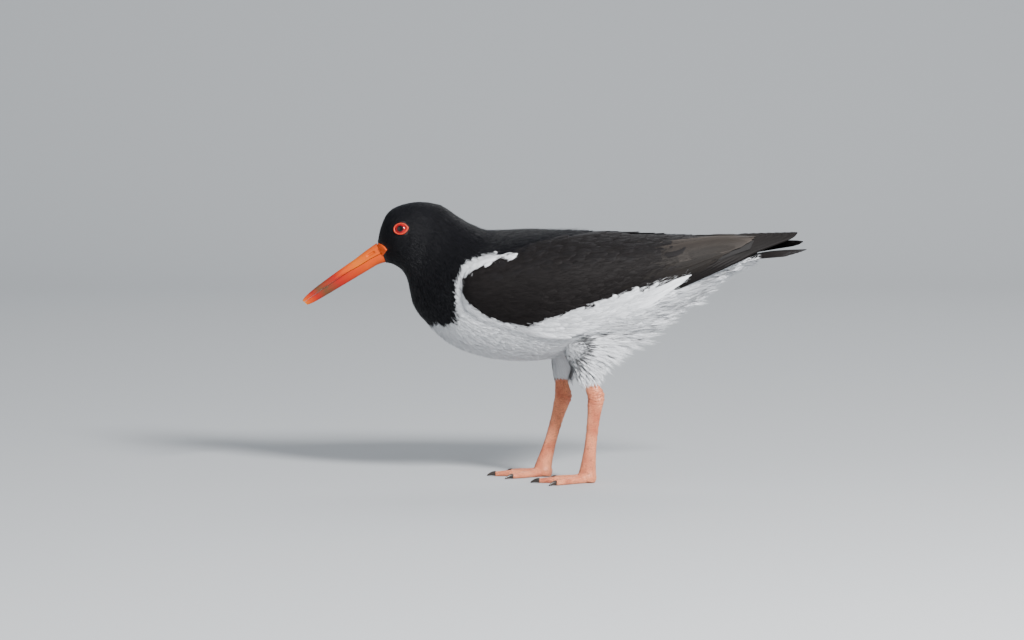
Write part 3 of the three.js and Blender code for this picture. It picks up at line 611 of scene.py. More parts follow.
def leg_material(colour, deep, size):
    """Bare scaled skin: cells of horny scales, mottled darker at random, with painted shade in the grooves between the
    scales, and a soft gloss.
    """
    material, shader, add, links = new_material("scaled_leg_skin")
    place = add("ShaderNodeTexCoord").outputs["Object"]
    cells = add("ShaderNodeTexVoronoi", {"Vector": place, "Scale": 1 / size}, feature="DISTANCE_TO_EDGE")
    cells = cells.outputs["Distance"]
    seam = ramp(add, cells, [(0.0, (0, 0, 0)), (0.12, (1, 1, 1))])
    cloud = add("ShaderNodeTexNoise", {"Vector": place, "Scale": 90.0, "Detail": 4.0}).outputs["Fac"]
    flesh = ramp(add, cloud, [(0.32, deep), (0.62, colour)])
    # Painted shade: the colour is halved in the seams between the scales, the grooves that the bump below cuts.
    shade = add("ShaderNodeMix", data_type="RGBA", blend_type="MULTIPLY")
    shade.inputs[0].default_value = 0.5
    links.new(flesh, shade.inputs[6])
    links.new(seam, shade.inputs[7])
    links.new(shade.outputs[2], shader.inputs["Base Color"])
    bump = add("ShaderNodeBump", {"Height": seam, "Strength": 0.8, "Distance": 0.0004})
    links.new(bump.outputs["Normal"], shader.inputs["Normal"])
    shader.inputs["Roughness"].default_value = 0.42
    shader.inputs["Subsurface Weight"].default_value = 0.1
    shader.inputs["Subsurface Radius"].default_value = (0.003, 0.001, 0.0007)
    return material


def horn_material(colour):
    """Dark claw horn with faint lengthwise grain."""
    material, shader, add, links = new_material("dark_claw")
    place = add("ShaderNodeTexCoord").outputs["Object"]
    grain = add("ShaderNodeTexNoise", {"Vector": place, "Scale": 700.0, "Detail": 3.0}).outputs["Fac"]
    links.new(ramp(add, grain, [(0.3, [0.6 * c for c in colour]), (0.7, [1.8 * c for c in colour])]),
              shader.inputs["Base Color"])
    shader.inputs["Roughness"].default_value = 0.35
    return material


def eye_material(iris, pupil):
    """A wet eye: black pupil, red iris with dark rays and a darker rim, all by the angle from its axis."""
    material, shader, add, links = new_material("red_iris")
    parts = add("ShaderNodeSeparateXYZ", {"Vector": add("ShaderNodeUVMap", uv_map="Iris").outputs["UV"]})
    round_eye = add("ShaderNodeMath", {0: parts.outputs["X"], 1: 40.0}, operation="MULTIPLY").outputs[0]
    where = add("ShaderNodeCombineXYZ", {"X": round_eye, "Y": parts.outputs["Y"]}).outputs[0]
    rays = add("ShaderNodeTexNoise", {"Vector": where, "Scale": 2.2, "Detail": 3.0}).outputs["Fac"]
    tone = ramp(add, rays, [(0.3, (0.6, 0.6, 0.6)), (0.7, (1.25, 1.25, 1.25))])
    rim = [0.28 * c for c in iris]
    ring = ramp(add, parts.outputs["Y"], [
        (0.0, (0.002, 0.002, 0.002)), (pupil - 0.008, (0.002, 0.002, 0.002)), (pupil + 0.012, rim),
        (pupil + 0.05, iris), (0.235, iris), (0.275, rim), (0.32, (0.01, 0.002, 0.002)),
    ])
    mixed = add("ShaderNodeMix", data_type="RGBA", blend_type="MULTIPLY")
    mixed.inputs[0].default_value = 1.0
    links.new(ring, mixed.inputs[6])
    links.new(tone, mixed.inputs[7])
    links.new(mixed.outputs[2], shader.inputs["Base Color"])
    shader.inputs["Roughness"].default_value = 0.3
    shader.inputs["Specular IOR Level"].default_value = 0.05
    shader.inputs["Coat Weight"].default_value = 0.6
    shader.inputs["Coat Roughness"].default_value = 0.02
    return material


def lid_material(colour):
    """The fleshy ring round the eye: orange-red, with fine warty relief and painted shade in the hollows between the
    warts.
    """
    material, shader, add, links = new_material("warty_eye_ring")
    place = add("ShaderNodeTexCoord").outputs["Object"]
    warts = add("ShaderNodeTexVoronoi", {"Vector": place, "Scale": 1700.0}).outputs["Distance"]
    # Painted shade: the colour falls to 0.55 of itself in the hollows between the warts, where the inverted bump lies
    # low.
    links.new(ramp(add, warts, [(0.1, colour), (0.8, [0.55 * c for c in colour])]), shader.inputs["Base Color"])
    bump = add("ShaderNodeBump", {"Height": warts, "Strength": 0.5, "Distance": 0.0002})
    bump.invert = True
    links.new(bump.outputs["Normal"], shader.inputs["Normal"])
    shader.inputs["Roughness"].default_value = 0.45
    return material


def material_once(name, make):
    """The material of that name, made if it isn't there yet. The frame brings materials named for its slots, so
    none here takes a slot's name."""
    return bpy.data.materials.get(name) or make()


# Settings

class PlumageSettings(bpy.types.PropertyGroup):
    coat_depth: bpy.props.FloatProperty(
        name="Coat depth", description="How far the breast's skin lies under its feathers' surface",
        default=0.0024, min=0.0005, max=0.01, unit="LENGTH", precision=5)
    fineness: bpy.props.FloatProperty(
        name="Fineness", description="Number of small feathers, against the model as shown",
        default=1.0, min=0.1, max=2.0, subtype="FACTOR")
    black: bpy.props.FloatVectorProperty(
        name="Black", description="Colour of the hood and back", default=(0.0046, 0.0045, 0.0058),
        min=0, max=1, subtype="COLOR")
    wing_black: bpy.props.FloatVectorProperty(
        name="Wing black", description="Colour of the folded wing, browner than the hood",
        default=(0.0095, 0.0078, 0.0076), min=0, max=1, subtype="COLOR")
    worn_brown: bpy.props.FloatVectorProperty(
        name="Worn brown", description="Colour of the long tertials and the primaries",
        default=(0.034, 0.028, 0.024), min=0, max=1, subtype="COLOR")
    white: bpy.props.FloatVectorProperty(
        name="White", description="Colour of the breast, belly, vent and wing bar", default=(0.8, 0.81, 0.83),
        min=0, max=1, subtype="COLOR")
    raggedness: bpy.props.FloatProperty(
        name="Raggedness", description="How far a feather's colour strays over the edge of a marking",
        default=0.0007, min=0, max=0.01, unit="LENGTH", precision=5)


class HeadSettings(bpy.types.PropertyGroup):
    iris: bpy.props.FloatVectorProperty(
        name="Iris", description="Colour of the iris", default=(0.3, 0.002, 0.006), min=0, max=1, subtype="COLOR")
    pupil: bpy.props.FloatProperty(
        name="Pupil", description="Half angle of the pupil, as a share of half a turn",
        default=0.112, min=0.05, max=0.2, subtype="FACTOR")
    eyelid: bpy.props.FloatVectorProperty(
        name="Eye ring", description="Colour of the bare ring round the eye", default=(0.6, 0.035, 0.005),
        min=0, max=1, subtype="COLOR")
    bill_base: bpy.props.FloatVectorProperty(
        name="Bill base", description="Colour of the bill at its base", default=(0.52, 0.058, 0.0),
        min=0, max=1, subtype="COLOR")
    bill_tip: bpy.props.FloatVectorProperty(
        name="Bill tip", description="Colour of the bill at its tip", default=(0.56, 0.15, 0.0),
        min=0, max=1, subtype="COLOR")
    bill_middle: bpy.props.FloatVectorProperty(
        name="Bill middle", description="Redder colour of the bill past its middle", default=(0.32, 0.008, 0.004),
        min=0, max=1, subtype="COLOR")
    bill_worn: bpy.props.FloatVectorProperty(
        name="Bill worn patch", description="Brown-grey patch before the bill's tip", default=(0.09, 0.042, 0.016),
        min=0, max=1, subtype="COLOR")


class LegSettings(bpy.types.PropertyGroup):
    skin: bpy.props.FloatVectorProperty(
        name="Leg skin", description="Colour of the bare legs and feet", default=(0.78, 0.27, 0.13),
        min=0, max=1, subtype="COLOR")
    # This darker colour is mixed into the leg skin at random by noise, as mottling; it is not laid into the folds.
    skin_deep: bpy.props.FloatVectorProperty(
        name="Leg skin in folds", description="Darker colour in the folds of the legs",
        default=(0.5, 0.12, 0.055), min=0, max=1, subtype="COLOR")
    scale_size: bpy.props.FloatProperty(
        name="Scale size", description="Width of one scale of the leg skin",
        default=0.0013, min=0.0003, max=0.005, unit="LENGTH", precision=5)
    claw: bpy.props.FloatVectorProperty(
        name="Claws", description="Colour of the claws", default=(0.02, 0.014, 0.011), min=0, max=1, subtype="COLOR")


class StageSettings(bpy.types.PropertyGroup):
    floor: bpy.props.FloatVectorProperty(
        name="Floor", description="Colour of the floor and backdrop", default=(0.4, 0.41, 0.42),
        min=0, max=1, subtype="COLOR")
    distance: bpy.props.FloatProperty(
        name="Camera distance", description="From the camera to the bird", default=5.0, min=1, max=20, unit="LENGTH")
    elevation: bpy.props.FloatProperty(
        name="Camera elevation", description="Height angle of the camera", default=math.radians(5),
        min=0, max=1.5, subtype="ANGLE")


# Materials shared by several pieces

def hood_vanes():
    """Soft close feathers of the hood, with a faint blue gloss."""
    return material_once("hood_vanes", lambda: plumage_material("hood_vanes", 0.45, 0.01, (0.55, 0.65, 1), 9, 0.16, 0.4))


def downy_vanes():
    """Loose white feathers with open barbs."""
    return material_once("downy_vanes", lambda: plumage_material("downy_vanes", 0.8, 0.15, (1, 1, 1), 6, 0.25, 0.1))


def wing_vanes():
    """Firm vanes with fine close barbs."""
    return material_once("wing_vanes", lambda: plumage_material("wing_vanes", 0.6, 0.01, (0.7, 0.75, 1), 40, 0.12, 0.3))


# Pieces

def nearest_wing(place):
    """How far inside the folded wing's outline a place lies in the side view, and 0 outside it (millimetres)."""
    x, z = place[..., 0], place[..., 2]
    low = np.interp(x, WING[:, 0], WING[:, 2])
    high = np.interp(x, WING[:, 3], WING[:, 5])
    inside = np.minimum(z - low, high - z)
    return np.where((x > -68) & (x < 148), np.maximum(inside, 0), 0)


def gape_reach(s):
    """The bare corner of the mouth on the head's skin: the middle angle and half angle of it at section s."""
    return 1.22 + 0.6 * s, 0.65 * np.clip(1 - s / GAPE_LENGTH, 0, 1)


def on_gape(s, a):
    """Whether a place on the head's skin is within either corner of the mouth."""
    middle, half = gape_reach(s)
    return np.abs(np.minimum(a, 2 * math.pi - a) - middle) < half


def eye_seat(side):
    """The place on the head's skin at the eye and the way out, found by small steps of s and a."""
    s, a = 3.0, math.pi / 3
    for _ in range(40):
        p = body_point(np.array(s), np.array(a))
        s += (EYE_AT[0] - p[0]) * 0.04
        a -= (EYE_AT[1] - p[2]) * 0.02
    place, _, _, out = BODY_SKIN.frame(np.array(s), np.array(a))
    mirror = np.array([1, -side, 1])
    return place * mirror, out * mirror


def skin_grid(surface, low, high, rows, columns, depth):
    """A closed-round grid of a surface, moved in along its normals by the coat's depth there."""
    p, q = np.meshgrid(np.linspace(low, high, rows), np.arange(columns) * 2 * math.pi / columns, indexing="ij")
    place, _, _, normal = surface.frame(p, q)
    return place - normal * depth(p)[..., None], p, q


def coat_depth(s, full):
    """Depth of the plumage: a third of its full depth on the head, all of it from the breast on."""
    return full * (0.3 + 0.7 * smooth(s, 4, 9)) * (0.45 + 0.55 * smooth(s, 0, 1.5)) * (1 - 0.6 * smooth(s, 15.5, 17))


class BIRD_OT_skin(bpy.types.Operator):
    """Skin of the head, body and thighs, under the feathers and with their markings"""
    bl_idname = "bird.skin"
    bl_label = "Body skin"

    def execute(self, context):
        looks = context.scene.bird_plumage
        full = looks.coat_depth / MM
        grid, _, _ = skin_grid(BODY_SKIN, 0.0, BODY_END, 170, 128, lambda s: coat_depth(s, full))
        parts = []
        for name in SIDES:
            legs, _, _ = skin_grid(THIGH[name], 0.0, 4.0, 40, 40, lambda s: 0.9 + 0 * s)
            p = tube_points(legs)
            parts.append((p, outward_faces(p, tube_faces(40, 40))))
        p = tube_points(grid)
        parts.insert(0, (p, outward_faces(p, tube_faces(170, 128))))
        points, faces = joined(parts)
        piece = make_piece("body_skin", points, faces, material_once("downy_skin", skin_material))
        dark = body_is_black(points[:, 0], points[:, 2])[:, None]
        paint(piece, "plumage", np.where(dark, linear(looks.black) * 0.8, linear(looks.white) * 0.75))
        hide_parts("head", "neck", "torso", "thigh_left", "thigh_right")
        return {"FINISHED"}


class BIRD_OT_body_feathers(bpy.types.Operator):
    """Small feathers of the head, neck, breast, belly and back, and the fine barbs that soften them"""
    bl_idname = "bird.body_feathers"
    bl_label = "Body feathers"

    def execute(self, context):
        looks = context.scene.bird_plumage
        black, white = linear(looks.black), linear(looks.white)
        ragged = looks.raggedness / MM
        eyes = [eye_seat(side)[0] for side in SIDES.values()]

        def colour(laid, rng):
            return marked(laid, rng, body_is_black, ragged, black, white)

        def open_skin(place):
            hidden = nearest_wing(place) > 9
            near = np.minimum(*(np.linalg.norm(place - eye, axis=-1) for eye in eyes))
            return (~hidden) & (near > 6.3)

        def band(low, high, each, seed, top=math.pi * 2, start=0.0):
            def density(place, p, q):
                return open_skin(place) * ~on_gape(p, q) * looks.fineness / each
            return scatter(BODY_SKIN, (low, start), (high, top), density, seed)

        def above_wing(place):
            return place[..., 2] - np.interp(place[..., 0], WING[:, 3], WING[:, 5])

        rng = np.random.default_rng(11)
        s, a = band(0.12, 5.4, 1.05, 1)
        face = smooth(s, 0, 3.2)
        head = lay(BODY_SKIN, s, a, 2.0 + 2.5 * face, 0.5 + 0.5 * face, rng, lift=-0.2 + 0.3 * face, sink=0.6,
                   roll=0.18, camber=0.3)
        s, a = band(0.3, 5.6, 1.6, 2)
        down = lay(BODY_SKIN, s, a, 2.2 + 2.4 * smooth(s, 0, 3), 0.14, rng, outline=STRAND, columns=2,
                   lift=0.1 + 0.4 * smooth(s, 0, 3), sink=0.3, loose=0.25)
        feather_piece("head_feathers", [(head, body_unwrap), (down, body_unwrap)], colour, hood_vanes(),
                      21)
        s, a = band(5.2, 9.3, 3.0, 3)
        neck = lay(BODY_SKIN, s, a, 6.0, 1.25, rng, lift=0.3, sink=0.9, roll=0.18)
        s, a = band(5.2, 9.3, 1.7, 4)
        fluff = lay(BODY_SKIN, s, a, 5.5, 0.2, rng, outline=STRAND, columns=2, lift=0.9, sink=0.4, loose=0.22)
        feather_piece("neck_feathers", [(neck, body_unwrap), (fluff, body_unwrap)], colour, hood_vanes(),
                      22)
        s, a = band(8.8, 13.4, 3.6, 5)
        belly = lay(BODY_SKIN, s, a, 10.0, 1.5, rng, lift=0.5, sink=1.3, roll=0.16, outline=LOCK)
        feather_piece("belly_feathers", [(belly, body_unwrap)], colour, downy_vanes(), 23)
        s, a = band(8.8, 16.6, 1.9, 6)
        barbs = lay(BODY_SKIN, s, a, 8.5, 0.17, rng, outline=STRAND, columns=2, lift=1.1, sink=0.4, loose=0.2)
        feather_piece("belly_barbs", [(barbs, body_unwrap)], colour, downy_vanes(), 24)
        s, a = band(13.0, 16.9, 5.0, 7)
        rear = lay(BODY_SKIN, s, a, 11.0, 1.9, rng, lift=0.8, sink=1.2, roll=0.25, outline=LOCK)
        feather_piece("rump_feathers", [(rear, body_unwrap)], colour, downy_vanes(), 25)

        def mantle_density(place, s, a):
            return (above_wing(place) > -3) * (np.cos(a) > 0) * looks.fineness / 15

        s, a = scatter(BODY_SKIN, (7.6, 0.0), (15.5, 2 * math.pi), mantle_density, 13)
        place = body_point(s, a)
        edge = 1 - smooth(above_wing(place), 0, 9)
        outwards = -np.sin(a)
        long = np.interp(s, [7.6, 9, 10.5, 15], [6.5, 7.5, 12.0, 19.0])
        mantle = lay(BODY_SKIN, s, a, long, np.interp(s, [7.6, 12], [2.0, 3.6]), rng,
                     turn=0.32 * outwards * smooth(s, 9, 11), lift=0.5 + 2.6 * edge * smooth(s, 8.5, 10.5), sink=0.7,
                     roll=0.12, columns=5)
        feather_piece("mantle_feathers", [(mantle, body_unwrap)], colour, wing_vanes(), 26)
        s, a = scatter(BODY_SKIN, (7.6, 0.0), (14.0, 2 * math.pi), lambda place, s, a: 9 * mantle_density(place, s, a),
                       14)
        edge = 1 - smooth(above_wing(body_point(s, a)), 0, 9)
        down = lay(BODY_SKIN, s, a, 8.0, 0.18, rng, outline=STRAND, columns=2, turn=-0.32 * np.sin(a),
                   lift=1.4 + 2.6 * edge, sink=0.4, loose=0.25)
        feather_piece("mantle_barbs", [(down, body_unwrap)], colour, hood_vanes(), 27)
        return {"FINISHED"}


def plume_set(surface, p, q, length, rng, spread, barbs, half, lift, droop=0.0, heading=None):
    """Loose plumes: each is a fan of narrow barbs from one root, turned by up to "spread" to either side and
    shorter at the sides, so that the tip is ragged. Barbs of one plume rise together."""
    fan = np.linspace(-1, 1, barbs)
    pp, qq = np.repeat(p, barbs), np.repeat(q, barbs)
    f = np.tile(fan, len(p))
    reach = np.repeat(np.broadcast_to(length, len(p)) * rng.uniform(0.75, 1.2, len(p)), barbs)
    reach = reach * (1 - 0.3 * f**2) * rng.uniform(0.85, 1.1, len(f))
    turn = np.repeat(rng.normal(0, 0.1, len(p)), barbs) + spread * f
    high = np.repeat(np.broadcast_to(lift, len(p)) * rng.uniform(0.6, 1.3, len(p)), barbs)
    low = np.repeat(np.broadcast_to(droop, len(p)) * rng.uniform(0.4, 1.3, len(p)), barbs)
    toward = None if heading is None else np.repeat(heading, barbs, axis=0)
    pt, qt = run(surface, pp, qq, reach, turn, np.array(PLUME["t"]), toward)
    return sheets(surface, pt, qt, half, rng, outline=PLUME, lift=high, sink=0.8, camber=0.2, roll=0.14, columns=2,
                  droop=low)


def free_plumes(root, heading, face, length, rng, spread, barbs, half, droop=0.0):
    """Plumes that leave the skin: each is a fan of barbs that start at one root and go straight on along the
    heading, turned within the plane square to "face", while their tips sink by the droop."""
    t = np.array(PLUME["t"])
    f = np.tile(np.linspace(-1, 1, barbs), len(root))
    reach = np.repeat(np.broadcast_to(length, len(root)) * rng.uniform(0.7, 1.2, len(root)), barbs)
    reach = reach * (1 - 0.3 * f**2) * rng.uniform(0.8, 1.1, len(f))
    turn = (np.repeat(rng.normal(0, 0.08, len(root)), barbs) + spread * f)[:, None]
    ahead = np.repeat(unit(heading), barbs, axis=0)
    up = unit(np.cross(face, ahead))
    ahead = ahead * np.cos(turn) + up * np.sin(turn)
    middle = np.repeat(root, barbs, axis=0)[:, None] + ahead[:, None] * (reach[:, None] * t)[..., None]
    middle[..., 2] -= droop * t**2
    c = np.array([-1.0, 1.0])
    w = half * rng.uniform(0.8, 1.2, len(f))[:, None] * np.array(PLUME["w"])
    points = middle[:, :, None] + np.cross(face, ahead)[:, None, None] * (w[:, :, None] * c)[..., None]
    v, u = np.meshgrid(t, (c + 1) / 2, indexing="ij")
    return {"points": points, "u": np.broadcast_to(u, points.shape[:3]), "v": np.broadcast_to(v, points.shape[:3]),
            "place": middle}


class BIRD_OT_loose_plumes(bpy.types.Operator):
    """Ragged white plumes of the flanks, vent and thighs, which end in loose points"""
    bl_idname = "bird.loose_plumes"
    bl_label = "Vent and thigh plumes"

    def execute(self, context):
        looks = context.scene.bird_plumage
        black, white = linear(looks.black), linear(looks.white)

        def colour(laid, rng):
            return marked(laid, rng, body_is_black, 0.3, black, white)

        rng = np.random.default_rng(31)

        def vent_density(place, s, a):
            under = smooth(-np.abs(a - math.pi), -1.35, -1.05)
            return under * (nearest_wing(place) < 9) * looks.fineness / 18

        s, a = scatter(BODY_SKIN, (12.2, 0.6), (16.6, 2 * math.pi - 0.6), vent_density, 8)
        grown = smooth(s, 12, 13.5) * (1 - 0.45 * smooth(s, 15.2, 16.8))
        vent = plume_set(BODY_SKIN, s, a, 13 + 9 * grown, rng, 0.12, 9, 0.42, 1.0 + 4.6 * grown)
        feather_piece("vent_plumes", [(vent, body_unwrap)], colour, downy_vanes(), 32)

        def flank_density(place, s, a):
            near = [hump(np.hypot(place[..., 0] - LEGS[name]["thigh"][0][0] - 12, place[..., 1] - side * 24), 0, 25)
                    for name, side in SIDES.items()]
            return (near[0] + near[1]) * (place[..., 2] < 126) * looks.fineness / 9

        def swept(place):
            """Back and a little up high on the flank, level below it, and down the leg towards the knee."""
            slope = np.interp(place[:, 2], [80, 88, 94, 101, 109, 120], [-3.2, -1.9, -0.9, -0.35, 0.0, 0.3])
            return np.stack([1 + 0 * slope, 0 * slope, slope], axis=-1)

        s, a = scatter(BODY_SKIN, (10.0, 1.6), (14.8, 2 * math.pi - 1.6), flank_density, 15)
        place, _, _, out = BODY_SKIN.frame(s, a)
        flanks = []
        for side in SIDES.values():
            front = LEGS["left" if side == LEFT else "right"]["thigh"][2][0] - 8
            near = (place[:, 1] * side > 9) & (place[:, 0] > front) & (place[:, 2] > 97)
            laid = free_plumes((place + 0.3 * out)[near], swept(place[near]), np.array([0, side, 0]), 23.0, rng,
                               0.1, 9, 0.3, droop=1.5)
            laid["root"] = (np.repeat(s[near], 9), np.repeat(a[near], 9))
            flanks.append((laid, body_unwrap))
        s, a = scatter(BODY_SKIN, (13.2, 2.1), (16.4, 2 * math.pi - 2.1), lambda place, s, a: 1 / 34 + 0 * s, 17)
        place, _, _, out = BODY_SKIN.frame(s, a)
        rise = np.stack([1 + 0 * s, 0 * s, rng.uniform(0.2, 0.55, len(s))], axis=-1)
        points = free_plumes(place + 0.5 * out, rise, np.array([0, LEFT, 0]), 17.0, rng, 0.1, 8, 0.3, droop=1.0)
        points["root"] = (np.repeat(s, 8), np.repeat(a, 8))
        flanks.append((points, body_unwrap))
        feather_piece("flank_plumes", flanks, colour, downy_vanes(), 34)
        sets = []
        for name, side in SIDES.items():
            def thigh_density(place, s, a):
                return looks.fineness / (3.8 - 0.55 * s)
            s, a = scatter(THIGH[name], (0.1, 0.0), (3.7, 2 * math.pi), thigh_density, 9)
            fall = s / 4
            down_the_leg = np.stack([0.8 - 0.6 * fall, 0 * s, -0.6 - 0.6 * fall], axis=-1)
            sets.append((plume_set(THIGH[name], s, a, 13.0 - 7.0 * fall, rng, 0.12, 7, 0.26, 0.9,
                                   heading=down_the_leg), thigh_unwrap))
            loose = np.sin(a) > -0.1
            place, _, _, out = THIGH[name].frame(s[loose], a[loose])
            laid = free_plumes(place + 0.6 * out, swept(place), np.array([0, side, 0]), 22.0 - 15.0 * fall[loose],
                               rng, 0.08, 7, 0.24, droop=0.8)
            laid["root"] = (np.repeat(s[loose], 7), np.repeat(a[loose], 7))
            sets.append((laid, thigh_unwrap))
        feather_piece("thigh_plumes", sets, colour, downy_vanes(), 33)
        return {"FINISHED"}


def blade_points(line, out_root, out_tip, half, rows=28, columns=7, thick=0.7, camber=0.2, outline=None):
    """A flight feather, closed: a sheet along a smooth line through the given points, with the outline's
    width, bent down across by the camber times the square of the offset, and an under sheet below it at the
    thickness, which thins out to both edges. A ring of points runs over the top and back underneath."""
    line = np.asarray(line, float)
    t = np.linspace(0, 1, rows)
    s = t * (len(line) - 1)
    place = spline(line, s)
    ahead = unit(np.gradient(place, axis=0))
    out = np.asarray(out_root, float) * (1 - t[:, None]) + np.asarray(out_tip, float) * t[:, None]
    out = unit(out - ahead * (out * ahead).sum(-1, keepdims=True))
    side = np.cross(ahead, out)
    outline = outline or ([0, 0.1, 0.5, 0.8, 0.93, 0.985, 1], [0.5, 0.8, 1, 0.93, 0.68, 0.34, 0.1])
    w = half * np.interp(t, *outline)
    c = np.linspace(-1, 1, columns)
    top = place[:, None] + side[:, None] * (w[:, None] * c)[..., None] - out[:, None] * (camber * w[:, None] * c**2)[..., None]
    body = thick * (1 - c**2) * np.interp(t, [0, 0.7, 1], [1.4, 1, 0.45])[:, None] + 0.06
    under = top - out[:, None] * body[..., None]
    ring = np.concatenate([top, under[:, -2:0:-1]], axis=1)
    u = np.concatenate([(c + 1) / 2, ((c + 1) / 2)[-2:0:-1]])
    return ring, np.broadcast_to(t[:, None], ring.shape[:2]), np.broadcast_to(u, ring.shape[:2])


def blade_piece(name, blades, tones, material, home):
    """One piece from several closed blades, each with its own tone; "home" gives each blade's OFBake place."""
    parts, bake, vane, tints = [], [], [], []
    for k, ((ring, v, u), tone) in enumerate(zip(blades, tones)):
        p = tube_points(ring)
        parts.append((p, outward_faces(p, tube_faces(*ring.shape[:2]))))
        ends = np.array([0.0, 1.0])
        v = np.concatenate([v.ravel(), ends])
        u = np.concatenate([u.ravel(), [0.5, 0.5]])
        bake.append(np.stack([home[k][0] + 0.003 * (u - 0.5), home[k][1] + 0.003 * (v - 0.5)], axis=-1))
        vane.append(np.stack([u * 0.98 + 3 * k, v + 5 * k], axis=-1))
        tints.append(tone(p, u, v))
    points, faces = joined(parts)
    piece = make_piece(name, points, faces, material)
    unwrap(piece, "OFBake", np.concatenate(bake))
    unwrap(piece, "Vane", np.concatenate(vane))
    paint(piece, "plumage", np.concatenate(tints))
    return piece


